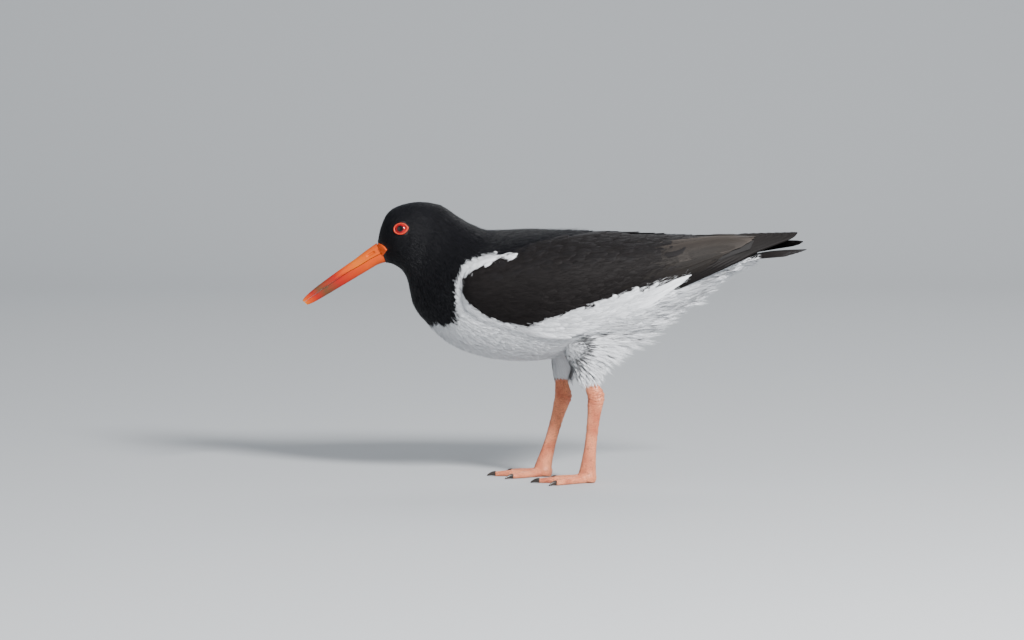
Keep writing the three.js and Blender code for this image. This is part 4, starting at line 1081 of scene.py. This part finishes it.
class BIRD_OT_wings(bpy.types.Operator):
    """Folded wings: their skin, the small, median and greater coverts, the white bar, scapulars and tertials"""
    bl_idname = "bird.wings"
    bl_label = "Folded wings"

    def execute(self, context):
        looks = context.scene.bird_plumage
        black, white = linear(looks.wing_black), linear(looks.white)
        worn = linear(looks.worn_brown)
        hood = linear(looks.black)
        ragged = looks.raggedness / MM
        for name, side in SIDES.items():
            face = WING_FACE[name]
            rng = np.random.default_rng(41 if side == LEFT else 42)
            self.skin(name, side, looks)

            def colour(laid, rng):
                return marked(laid, rng, wing_is_black, ragged, black, white)

            def dark(laid, rng):
                return marked(laid, rng, wing_is_black, ragged, 0.7 * black + 0.3 * hood, white)

            def brown(laid, rng):
                order = np.arange(len(laid["place"]))
                # Painted shade: the lower tertials, first in the row, are darkened to 0.3 and 0.5 of the upper ones'
                # tone.
                tone = np.interp(order, [0, 2, 4], [0.3, 0.5, 1.0]) * rng.uniform(0.85, 1.15, len(order))
                u, v = laid["u"][..., None], laid["v"][..., None]
                pale = smooth(np.abs(2 * u - 1), 0.72, 1.0) * 0.5 + 0.4 * smooth(v, 0.9, 1.0)
                return worn * tone[:, None, None, None] * (0.75 + 0.25 * v + pale)

            def all_white(laid, rng):
                return marked(laid, rng, lambda x, z: x > 1000, ragged, black, white)

            def small(place, u, v):
                return looks.fineness / np.interp(u, [0, 1.5, 3.5, 5], [3.2, 5.0, 9.0, 14.0])

            turn = -0.12 * side
            u, v = scatter(face, (0.05, 0.02), (4.6, 0.98), small, 10)
            size = np.interp(u, [0, 2, 4.6], [6.0, 9.0, 14.0])
            lesser = lay(face, u, v, size, 0.27 * size, rng, lift=0.3, sink=0.5, roll=0.05, columns=3, turn=turn)
            u, v = scatter(face, (3.6, 0.05), (7.6, 0.75),
                           lambda place, u, v: looks.fineness / 26, 11)
            median = lay(face, u, v, 19.0, 4.4, rng, lift=0.55, sink=0.5, roll=0.04, columns=5)
            rows = [
                lay_row(face, [[4.4, 0.10], [7.2, 0.5]], [[5.9, 0.03], [8.6, 0.36]], 15, 5.6, rng, lift=0.8,
                        columns=5, roll=0.04),
                lay_row(face, [[3.6, 0.06], [8.0, 0.16]], [[4.9, -0.01], [9.0, 0.08]], 30, 3.2, rng, lift=1.0,
                        columns=5, roll=0.06),
            ]
            secondaries = lay_row(face, [[5.6, 0.0], [7.0, 0.14]], [[7.1, -0.05], [8.25, 0.04]], 30, 2.7, rng,
                                  outline=LOCK, lift=1.6, sink=0.0, columns=3, roll=0.1)
            feather_piece(f"white_secondaries_{name}", [(secondaries, wing_unwrap)], all_white, downy_vanes(),
                          47)
            tiers = [(laid, wing_unwrap) for laid in (lesser, median, *rows)]
            feather_piece(f"wing_coverts_{name}", tiers, colour, wing_vanes(), 43)
            u, v = scatter(face, (1.2, 0.66), (7.4, 1.0), lambda place, u, v: looks.fineness / 24, 12)
            size = np.interp(u, [1, 4, 7.4], [11, 18, 26])
            shoulder = lay(face, u, v, size, 0.25 * size, rng, lift=0.9, sink=0.7, roll=0.06, columns=5,
                           turn=0.1 * side)
            feather_piece(f"scapulars_{name}", [(shoulder, wing_unwrap)], dark, wing_vanes(), 44)
            u, v = scatter(face, (0.1, 0.0), (8.6, 0.96), lambda place, u, v: looks.fineness / 1.6, 16)
            barbs = lay(face, u, v, np.interp(u, [0, 3, 8], [4.0, 7.0, 9.0]), 0.17, rng, outline=STRAND, columns=2,
                        lift=1.1, sink=0.2, loose=0.2, turn=turn)
            feather_piece(f"wing_barbs_{name}", [(barbs, wing_unwrap)], colour, wing_vanes(), 46)
            long_ones = lay_row(face, [[6.0, 0.24], [6.4, 0.6], [6.7, 0.92]], [[8.8, 0.08], [9.7, 0.38], [9.97, 0.8]],
                                7, np.array([5.6, 6.4, 7.0, 7.4, 7.2, 6.4, 5.2]), rng, outline=TERTIAL, lift=1.6,
                                sink=0.1, columns=7, camber=0.18, roll=0.03)
            feather_piece(f"tertials_{name}", [(long_ones, wing_unwrap)], brown, wing_vanes(), 45)
        return {"FINISHED"}

    def skin(self, name, side, looks):
        """The wing's closed core: the face moved in by 1 mm, and an inner face behind it at the wing's depth."""
        rows, half = 70, 20
        u = np.linspace(0.02, WING_END - 0.02, rows)
        v = np.linspace(0.0, 1.0, half)
        uu, vv = np.meshgrid(u, v, indexing="ij")
        place, _, _, normal = WING_FACE[name].frame(uu, vv)
        bulge = spline(WING, uu)[..., 6]
        depth = np.minimum(11, 2 + 0.5 * bulge) * (0.35 + 2.6 * vv * (1 - vv))
        outer = place - normal * np.minimum(1.0, 0.4 * depth)[..., None]
        inner = place - normal * np.maximum(depth - 0.5, 0.6)[..., None]
        ring = np.concatenate([outer, inner[:, ::-1]], axis=1)
        p = tube_points(ring)
        faces = outward_faces(p, tube_faces(rows, 2 * half))
        piece = make_piece(f"wing_skin_{name}", p, faces, material_once("downy_skin", skin_material))
        dark = wing_is_black(p[:, 0], p[:, 2])[:, None]
        paint(piece, "plumage", np.where(dark, linear(looks.wing_black) * 0.7, linear(looks.white) * 0.75))
        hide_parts(f"wing_{name}")


TERTIAL = {"t": [0, 0.15, 0.35, 0.55, 0.72, 0.85, 0.94, 1], "w": [0.5, 0.8, 1, 1, 0.9, 0.72, 0.5, 0.16]}


class BIRD_OT_flight_feathers(bpy.types.Operator):
    """Primaries of both folded wings and the twelve tail feathers, each a closed vane"""
    bl_idname = "bird.flight_feathers"
    bl_label = "Primaries and tail"

    def execute(self, context):
        looks = context.scene.bird_plumage
        worn, black, white = linear(looks.worn_brown), linear(looks.wing_black), linear(looks.white)

        def primary_tone(k):
            def tone(p, u, v):
                edge = smooth(np.abs(2 * u - 1), 0.7, 1.0)[:, None]
                return (0.1 * worn + 0.6 * black) * (0.8 + 0.06 * k) * (1 + 0.8 * edge)
            return tone

        for name, side in SIDES.items():
            line = np.array(HANDS[name], float)
            t = np.linspace(0, 1, len(line))[:, None]
            blades, tones, home = [], [], []
            for k in range(PRIMARIES):
                step = k * 5 / PRIMARIES
                moved = line + step * (np.array([-1, 0.5, 1.3]) * (1 - t) + np.array([-8.5, 0.5, -0.2]) * t)
                moved = moved - np.array([0, 5.5, 0]) * (1 - t) ** 3
                ring, v, u = blade_points(moved, [0, 0.95, 0.3], [0, 0.62, 0.78], 5.9, thick=0.6)
                blades.append((ring * np.array([1, side, 1]), v, u))
                tones.append(primary_tone(k))
                home.append((0.1 + 0.1 * k, 0.3))
            piece = blade_piece(f"primary_vanes_{name}", blades, tones, wing_vanes(), home)
            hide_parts(f"primaries_{name}")

        blades, tones, home = [], [], []

        def tail_tone(p, u, v):
            dark = smooth(p[:, 0], 156, 158)[:, None]
            edge = smooth(np.abs(2 * u - 1), 0.75, 1.0)[:, None]
            return dark * black * (1 + 0.5 * edge) + (1 - dark) * white

        for n in range(12):
            i = n - 5.5
            arch = 0.13 * i * i
            line = [[151, 1.3 * i, 173.8 - 0.4 * arch], [168, 1.9 * i, 176.8 - 0.5 * arch],
                    [194 - 0.42 * i * i, 2.3 * i, 178.2 - 0.5 * arch]]
            blades.append(blade_points(line, [0, 0.03 * i, 1], [0, 0.05 * i, 1], 7.3, rows=22, thick=0.5,
                                       camber=0.06))
            tones.append(tail_tone)
            home.append((0.05 + 0.07 * n, 0.8))
        piece = blade_piece("tail_vanes", blades, tones, wing_vanes(), home)
        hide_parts("tail")
        return {"FINISHED"}


class BIRD_OT_bill(bpy.types.Operator):
    """Upper and lower bill, with the nasal groove, the nostril slits and the mouth line"""
    bl_idname = "bird.bill"
    bl_label = "Bill"

    def execute(self, context):
        looks = context.scene.bird_head
        base, tip, worn = linear(looks.bill_base), linear(looks.bill_tip), linear(looks.bill_worn)
        crimson = linear(looks.bill_middle)
        glow = 0.5 * (base + tip)
        upper = [(0.0, base), (0.3, glow), (0.42, base), (0.53, crimson), (0.62, 0.5 * (crimson + worn)),
                 (0.69, worn), (0.78, crimson), (0.9, base), (1.0, tip)]
        lower = [(0.0, base), (0.22, base), (0.36, 0.5 * (base + crimson)), (0.52, crimson), (0.65, worn),
                 (0.76, crimson), (0.9, base), (1.0, tip)]
        self.half("bill_upper_horn", "top", upper, "upper_bill_horn", "bill_upper")
        self.half("bill_lower_horn", "bottom", lower, "lower_bill_horn", "bill_lower")
        for name, side in SIDES.items():
            self.gape(name, side)
        return {"FINISHED"}

    def gape(self, name, side):
        """The bare corner of the mouth: a tapering patch of the head's skin, swollen by a parabola across it."""
        k, c = np.meshgrid(np.linspace(0, 0.97, 24), np.linspace(-1, 1, 15), indexing="ij")
        s = GAPE_LENGTH * k
        middle, half = gape_reach(s)
        place, _, _, out = BODY_SKIN.frame(s, middle + half * c)
        over = place + out * (0.15 + 0.45 * (1 - c**2))[..., None]
        under = place - out * 0.6
        p = tube_points(np.concatenate([over, under[:, ::-1]], axis=1)) * np.array([1, -side, 1])
        look = bpy.data.materials["upper_bill_horn"]
        piece = make_piece(f"gape_{name}", p, outward_faces(p, tube_faces(24, 30)), look)
        unwrap(piece, "Horn", np.stack([0 * p[:, 0], np.linspace(0, 1, len(p))], axis=-1))

    def half(self, name, edge, stops, look, node):
        """One mandible: over each section of the bill, an arch from the mouth line up to the named edge, whose
        height is the sine to the power 0.85 and whose width is the cosine, closed by the flat of the mouth."""
        rows, over, flat = 150, 41, 9
        t = np.linspace(0, 1, rows)
        row = spline(BILL, t * (len(BILL) - 1))
        mouth = np.stack([row[:, 2], 0 * t, row[:, 3]], axis=-1)
        far = np.stack([row[:, 0 if edge == "top" else 4], 0 * t, row[:, 1 if edge == "top" else 5]], axis=-1)
        height = np.linalg.norm(far - mouth, axis=-1)
        rise = unit(far - mouth)
        a = np.linspace(0, math.pi, over)
        up = GAP / 2 + (height[:, None] - GAP / 2) * np.sin(a) ** 0.85
        out = row[:, 6:7] * np.cos(a)
        share = up / height[:, None]
        if edge == "top":
            groove = hump(share, 0.42, 0.16) * (smooth(t, 0.0, 0.06) * (1 - smooth(t, 0.3, 0.5)))[:, None]
            slit = hump(share, 0.44, 0.1) * (smooth(t, 0.075, 0.09) * (1 - smooth(t, 0.15, 0.17)))[:, None]
            out = out * (1 - 0.1 * groove) - np.sign(np.cos(a)) * 1.5 * slit
        rim = hump(share, 0.04, 0.05)
        out = out * (1 + 0.03 * rim)
        arch = mouth[:, None] + rise[:, None] * up[..., None] + np.array([0, 1.0, 0]) * out[..., None]
        k = np.linspace(0, 1, flat + 2)[1:-1]
        back = arch[:, -1:] + (arch[:, :1] - arch[:, -1:]) * k[None, :, None]
        grid = np.concatenate([arch, back], axis=1)
        p = tube_points(grid)
        faces = outward_faces(p, tube_faces(rows, over + flat))
        piece = make_piece(name, p, faces, material_once(look, lambda: bill_material(look, stops)))
        u = np.broadcast_to(t[:, None], grid.shape[:2]).ravel()
        v = np.broadcast_to(np.linspace(0, 1, over + flat), grid.shape[:2]).ravel()
        unwrap(piece, "Horn", np.stack([np.append(u, [0, 1]), np.append(v, [0.5, 0.5])], axis=-1))
        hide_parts(node)


class BIRD_OT_eyes(bpy.types.Operator):
    """Eyeballs with a red iris, and the bare fleshy ring round each"""
    bl_idname = "bird.eyes"
    bl_label = "Eyes"

    def execute(self, context):
        looks = context.scene.bird_head
        iris, lid = linear(looks.iris), linear(looks.eyelid)
        for name, side in SIDES.items():
            place, out = eye_seat(side)
            right = unit(np.cross(np.array([0, 0, 1.0]), out))
            up = np.cross(out, right)
            turn, polar = np.meshgrid(np.arange(64) * 2 * math.pi / 64, np.linspace(0.02, math.pi - 0.02, 60))
            ball = (out * np.cos(polar)[..., None] + right * (np.sin(polar) * np.cos(turn))[..., None]
                    + up * (np.sin(polar) * np.sin(turn))[..., None]) * EYE_RADIUS + place - out * EYE_SUNK
            p = tube_points(ball)
            piece = make_piece(f"eyeball_{name}", p, outward_faces(p, tube_faces(60, 64)),
                               material_once("red_iris", lambda: eye_material(iris, looks.pupil)))
            u = np.append((turn / (2 * math.pi)).ravel(), [0, 0])
            v = np.append((polar / math.pi).ravel(), [0, 1])
            unwrap(piece, "Iris", np.stack([u, v], axis=-1))
            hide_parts(f"eye_{name}")
            self.lid(name, place, out, right, up, lid)
        return {"FINISHED"}

    def lid(self, name, place, out, right, up, colour):
        """A ring tube: an ellipse a little longer than high, drawn out to a small corner at the back and turned
        up there by the eye's tilt."""
        around, tube = np.meshgrid(np.arange(96) * 2 * math.pi / 96, np.arange(20) * 2 * math.pi / 20, indexing="ij")
        level = right if right[0] > 0 else -right
        back = level * math.cos(EYE_TILT) + up * math.sin(EYE_TILT)
        rise = up * math.cos(EYE_TILT) - level * math.sin(EYE_TILT)
        x = np.cos(around)
        corner = 0.11 * np.exp(-((around - 2 * math.pi * (around > math.pi)) / 0.35) ** 2)
        folds = 0.06 * np.sin(23 * around) * np.sin(tube) + 0.05 * np.sin(2 * tube + 9 * around)
        girth = (0.62 + 0.1 * x) * (1 + folds)
        radius = 4.5 + girth * np.cos(tube)
        ring = (back * (1.12 * radius * (1 + corner) * x)[..., None] + rise * (0.9 * radius * np.sin(around))[..., None]
                + out * (girth * np.sin(tube) - 0.1)[..., None]) + place
        p = ring.reshape(-1, 3)
        faces = [grid_faces(96, 20, True)]
        last = 95 * 20
        c = np.arange(20)
        d = (c + 1) % 20
        faces = [np.concatenate([faces[0], np.stack([last + c, last + d, d, c], axis=1)])]
        piece = make_piece(f"eye_lids_{name}", p, outward_faces(p, faces),
                           material_once("warty_eye_ring", lambda: lid_material(colour)))
        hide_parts(f"eye_ring_{name}")


def soled_rings(centre, ahead, half, height):
    """Sections of a toe: a round arch whose lower part is cut off flat on the ground."""
    a = np.linspace(-0.5 * math.pi, 1.5 * math.pi, 28, endpoint=False)
    across = np.cos(a)
    up = np.clip(0.5 + 0.5 * np.sin(a) * 1.25, 0, None)
    up = up / up.max()
    across = np.where(up <= 0, np.clip(across, -0.62, 0.62), across)
    side = np.array([-ahead[1], ahead[0], 0])
    points = centre[:, None] + side * (half[:, None] * across)[..., None]
    points[..., 2] = height[:, None] * up
    return points


def toe_way(turn, side):
    """The direction of a toe, turned inwards from straight ahead by the angle."""
    a = math.radians(turn)
    return np.array([-math.cos(a), -side * math.sin(a), 0.0])


class BIRD_OT_legs(bpy.types.Operator):
    """Bare legs with their joints and three-toed feet, and the claws"""
    bl_idname = "bird.legs"
    bl_label = "Legs and claws"

    def execute(self, context):
        looks = context.scene.bird_legs
        skin = material_once("scaled_leg_skin", lambda: leg_material(
            linear(looks.skin), linear(looks.skin_deep), looks.scale_size))
        horn = material_once("dark_claw", lambda: horn_material(linear(looks.claw)))
        for name, side in SIDES.items():
            self.leg(name, side, skin)
            self.claws(name, side, horn)
        return {"FINISHED"}

    def leg(self, name, side, skin):
        """Shank, instep, heel and toes as overlapping tubes, melted into one skin by a fine remesh."""
        leg = LEGS[name]
        knee, ankle, foot = (np.array(leg[k], float) for k in ("knee", "ankle", "foot"))
        stations = []
        for t, fore, across in SHANK:
            p = knee + (ankle - knee) * t if t < 1 else ankle + (foot - ankle) * (t - 1)
            stations.append([*p, fore, across])
        stations += [[foot[0] - 0.5, foot[1], 4.5, 7.2, 5.8], [foot[0] - 1, foot[1], 1.2, 6.4, 5.4]]
        rows, columns = 120, 48
        surface = Surface(limb_point(stations, side), (0, 0), (len(stations) - 1.0, 2 * math.pi), side)
        s, a = np.meshgrid(np.linspace(0, len(stations) - 1.0, rows), np.arange(columns) * 2 * math.pi / columns,
                           indexing="ij")
        place, _, _, normal = surface.frame(s, a)
        scutes = 0.42 * np.abs(np.sin(place[..., 2] * 1.6)) * smooth(np.abs(np.cos(a)), 0.3, 0.85)
        creases = 0.4 * np.sin(s * 17 + 1.6 * np.sin(3 * a)) * hump(s, 2.0, 0.9)
        scutes = scutes * smooth(s, 2.4, 3.2)
        grid = place + normal * (scutes + creases)[..., None]
        grid[..., 2] = np.maximum(grid[..., 2], 0.4)
        p = tube_points(grid)
        parts = [(p, outward_faces(p, tube_faces(rows, columns)))]
        start = np.array([foot[0] - 1, side * foot[1], 0])
        table = np.array(TOE_GIRTH)
        for turn, length in TOES:
            ahead = toe_way(turn, side)
            t = np.linspace(0, 1, 60)
            girth = spline(table, t * (len(table) - 1))
            pads = 1 + 0.1 * (hump(t, 0.36, 0.06) + hump(t, 0.66, 0.06) + hump(t, 0.93, 0.08))
            rings = soled_rings(start + ahead * (length * t)[:, None], ahead, girth[:, 0] * pads,
                                girth[:, 1] * (0.94 + 0.06 * pads) * (1 + 0.02 * np.sin(60 * t)))
            p = tube_points(rings)
            parts.append((p, outward_faces(p, tube_faces(60, 28))))
        back = -toe_way(0, side)
        t = np.linspace(0, 1, 12)
        rings = soled_rings(start + back * (-3 + 9.5 * t)[:, None], back, 5 - 1.8 * t, 8 - 3.4 * t)
        p = tube_points(rings)
        parts.append((p, outward_faces(p, tube_faces(12, 28))))
        for first, second, reach in ((1, 2, 15), (0, 1, 10)):
            one, two = (start + toe_way(TOES[k][0], side) * reach for k in (first, second))
            parts.append(self.web(start, one, two))
        points, faces = joined(parts)
        piece = make_piece(f"leg_skin_{name}", points, faces, skin)
        melt = piece.modifiers.new("melt", "REMESH")
        melt.mode = "VOXEL"
        melt.voxel_size = 0.0005
        melt.use_smooth_shade = True
        soften = piece.modifiers.new("soften", "SMOOTH")
        soften.iterations = 4
        soften.factor = 0.5
        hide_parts(f"shank_{name}", f"foot_{name}")

    def web(self, start, one, two):
        """The skin between two toes: a low wedge whose free edge is drawn in to a curve."""
        k = np.linspace(0, 1, 16)
        edge = one + (two - one) * k[:, None]
        edge = edge - (edge - start) * (0.35 * np.sin(math.pi * k))[:, None]
        reach = np.linspace(0.05, 1, 12)
        top = start + (edge[None] - start) * reach[:, None, None]
        top[..., 2] = 3.4 - 1.0 * reach[:, None]
        low = top.copy()
        low[..., 2] = 0.9
        ring = np.concatenate([top, low[:, ::-1]], axis=1)
        p = tube_points(ring)
        return p, outward_faces(p, tube_faces(12, 32))

    def claws(self, name, side, horn):
        """Each claw a soled tube that tapers to its tip along a low arch."""
        foot = LEGS[name]["foot"]
        start = np.array([foot[0] - 1, side * foot[1], 0])
        for toe, (turn, length) in zip(("inner", "middle", "outer"), TOES):
            ahead = toe_way(turn, side)
            t = np.linspace(0, 1, 24)
            half = 1.5 - 1.2 * t**1.3
            rings = soled_rings(start + ahead * (length - 0.4 + (CLAW_LENGTH + GAP + 0.4) * t)[:, None], ahead, half,
                                2 * half + 0.6)
            rings[..., 2] += (0.35 * (1 - t))[:, None] + (0.5 * np.sin(math.pi * t))[:, None]
            p = tube_points(rings)
            piece = make_piece(f"claw_{toe}_{name}_horn", p, outward_faces(p, tube_faces(24, 28)), horn)
            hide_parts(f"claw_{name}_{toe}")


class BIRD_OT_stage(bpy.types.Operator):
    """Plain pale floor and backdrop, soft lights and the camera"""
    bl_idname = "bird.stage"
    bl_label = "Stage"

    def execute(self, context):
        looks = context.scene.bird_stage
        self.backdrop(linear(looks.floor))
        self.light("key", (1.2, -1.95, 1.5), 0.5, 190)
        self.light("fill", (-1.9, -1.8, 0.9), 1.8, 12)
        self.light("rim", (0.4, 1.7, 1.7), 1.2, 18)
        world = bpy.data.worlds.new("studio") if not context.scene.world else context.scene.world
        context.scene.world = world
        world.use_nodes = True
        background = world.node_tree.nodes["Background"]
        background.inputs["Color"].default_value = (0.85, 0.92, 1, 1)
        background.inputs["Strength"].default_value = 0.6
        self.camera(looks)
        return {"FINISHED"}

    def backdrop(self, colour):
        """A floor 4 m wide that turns up behind in a wide curve: height is 0, then a quarter circle, then
        straight."""
        x = np.linspace(-3.5, 3.5, 30)
        arc = np.linspace(0, math.pi / 2, 24)
        y = np.concatenate([np.linspace(-7, 1.8, 20), 1.8 + np.sin(arc)[1:], [2.8]])
        z = np.concatenate([np.zeros(20), 1 - np.cos(arc)[1:], [5.0]])
        grid = np.stack(np.broadcast_arrays(x[None], y[:, None], z[:, None]), axis=-1) / MM
        material, shader, add, links = new_material("pale_floor")
        shader.inputs["Base Color"].default_value = (*colour, 1)
        shader.inputs["Roughness"].default_value = 0.9
        mesh = bpy.data.meshes.new("floor")
        mesh.from_pydata((grid.reshape(-1, 3) * MM).tolist(), [], grid_faces(len(y), len(x), False).tolist())
        mesh.polygons.foreach_set("use_smooth", np.ones(len(mesh.polygons), bool))
        mesh.materials.append(material)
        floor = bpy.data.objects.new("floor", mesh)
        bpy.context.collection.objects.link(floor)

    def light(self, name, place, size, power):
        """A square soft light, turned to the bird."""
        lamp = bpy.data.lights.new(name, "AREA")
        lamp.shape = "SQUARE"
        lamp.size = size
        lamp.energy = power
        holder = bpy.data.objects.new(name, lamp)
        holder.location = place
        holder.rotation_euler = (Vector((0, 0, 0.12)) - Vector(place)).to_track_quat("-Z", "Y").to_euler()
        bpy.context.collection.objects.link(holder)

    def camera(self, looks):
        """A long lens from the side: 0.77 mm of the bird to one of the picture's 1024 columns."""
        data = bpy.data.cameras.new("camera")
        data.sensor_width = 36
        data.lens = 36 * looks.distance / (1024 * 0.77 * MM)
        data.clip_end = 100
        camera = bpy.data.objects.new("camera", data)
        aim = Vector((-0.0327, 0, 0.1235))
        back = Vector((0, -math.cos(looks.elevation), math.sin(looks.elevation)))
        camera.location = aim + back * looks.distance
        camera.rotation_euler = (-back).to_track_quat("-Z", "Y").to_euler()
        bpy.context.collection.objects.link(camera)
        bpy.context.scene.camera = camera


class BIRD_PT_panel(bpy.types.Panel):
    """The model's settings and the pieces it is made of"""
    bl_idname = "BIRD_PT_panel"
    bl_label = "Oystercatcher"
    bl_space_type = "VIEW_3D"
    bl_region_type = "UI"
    bl_category = "Oystercatcher"

    def draw(self, context):
        scene = context.scene
        for title, settings in (("Plumage", scene.bird_plumage), ("Head", scene.bird_head),
                                ("Legs", scene.bird_legs), ("Stage", scene.bird_stage)):
            box = self.layout.box()
            box.label(text=title)
            for key in settings.__annotations__:
                box.prop(settings, key)
        for step in STEPS:
            self.layout.operator(step.bl_idname)


SETTINGS = {"bird_plumage": PlumageSettings, "bird_head": HeadSettings, "bird_legs": LegSettings,
            "bird_stage": StageSettings}
STEPS = (BIRD_OT_stage, BIRD_OT_skin, BIRD_OT_body_feathers, BIRD_OT_loose_plumes, BIRD_OT_wings,
         BIRD_OT_flight_feathers, BIRD_OT_bill, BIRD_OT_eyes, BIRD_OT_legs)


def register():
    for cls in (*SETTINGS.values(), *STEPS, BIRD_PT_panel):
        bpy.utils.register_class(cls)
    for key, cls in SETTINGS.items():
        setattr(bpy.types.Scene, key, bpy.props.PointerProperty(type=cls))


def unregister():
    for key in SETTINGS:
        delattr(bpy.types.Scene, key)
    for cls in (BIRD_PT_panel, *reversed(STEPS), *reversed(list(SETTINGS.values()))):
        bpy.utils.unregister_class(cls)


def main():
    register()
    for step in STEPS:
        group, name = step.bl_idname.split(".")
        getattr(getattr(bpy.ops, group), name)()


if __name__ == "__main__":
    main()
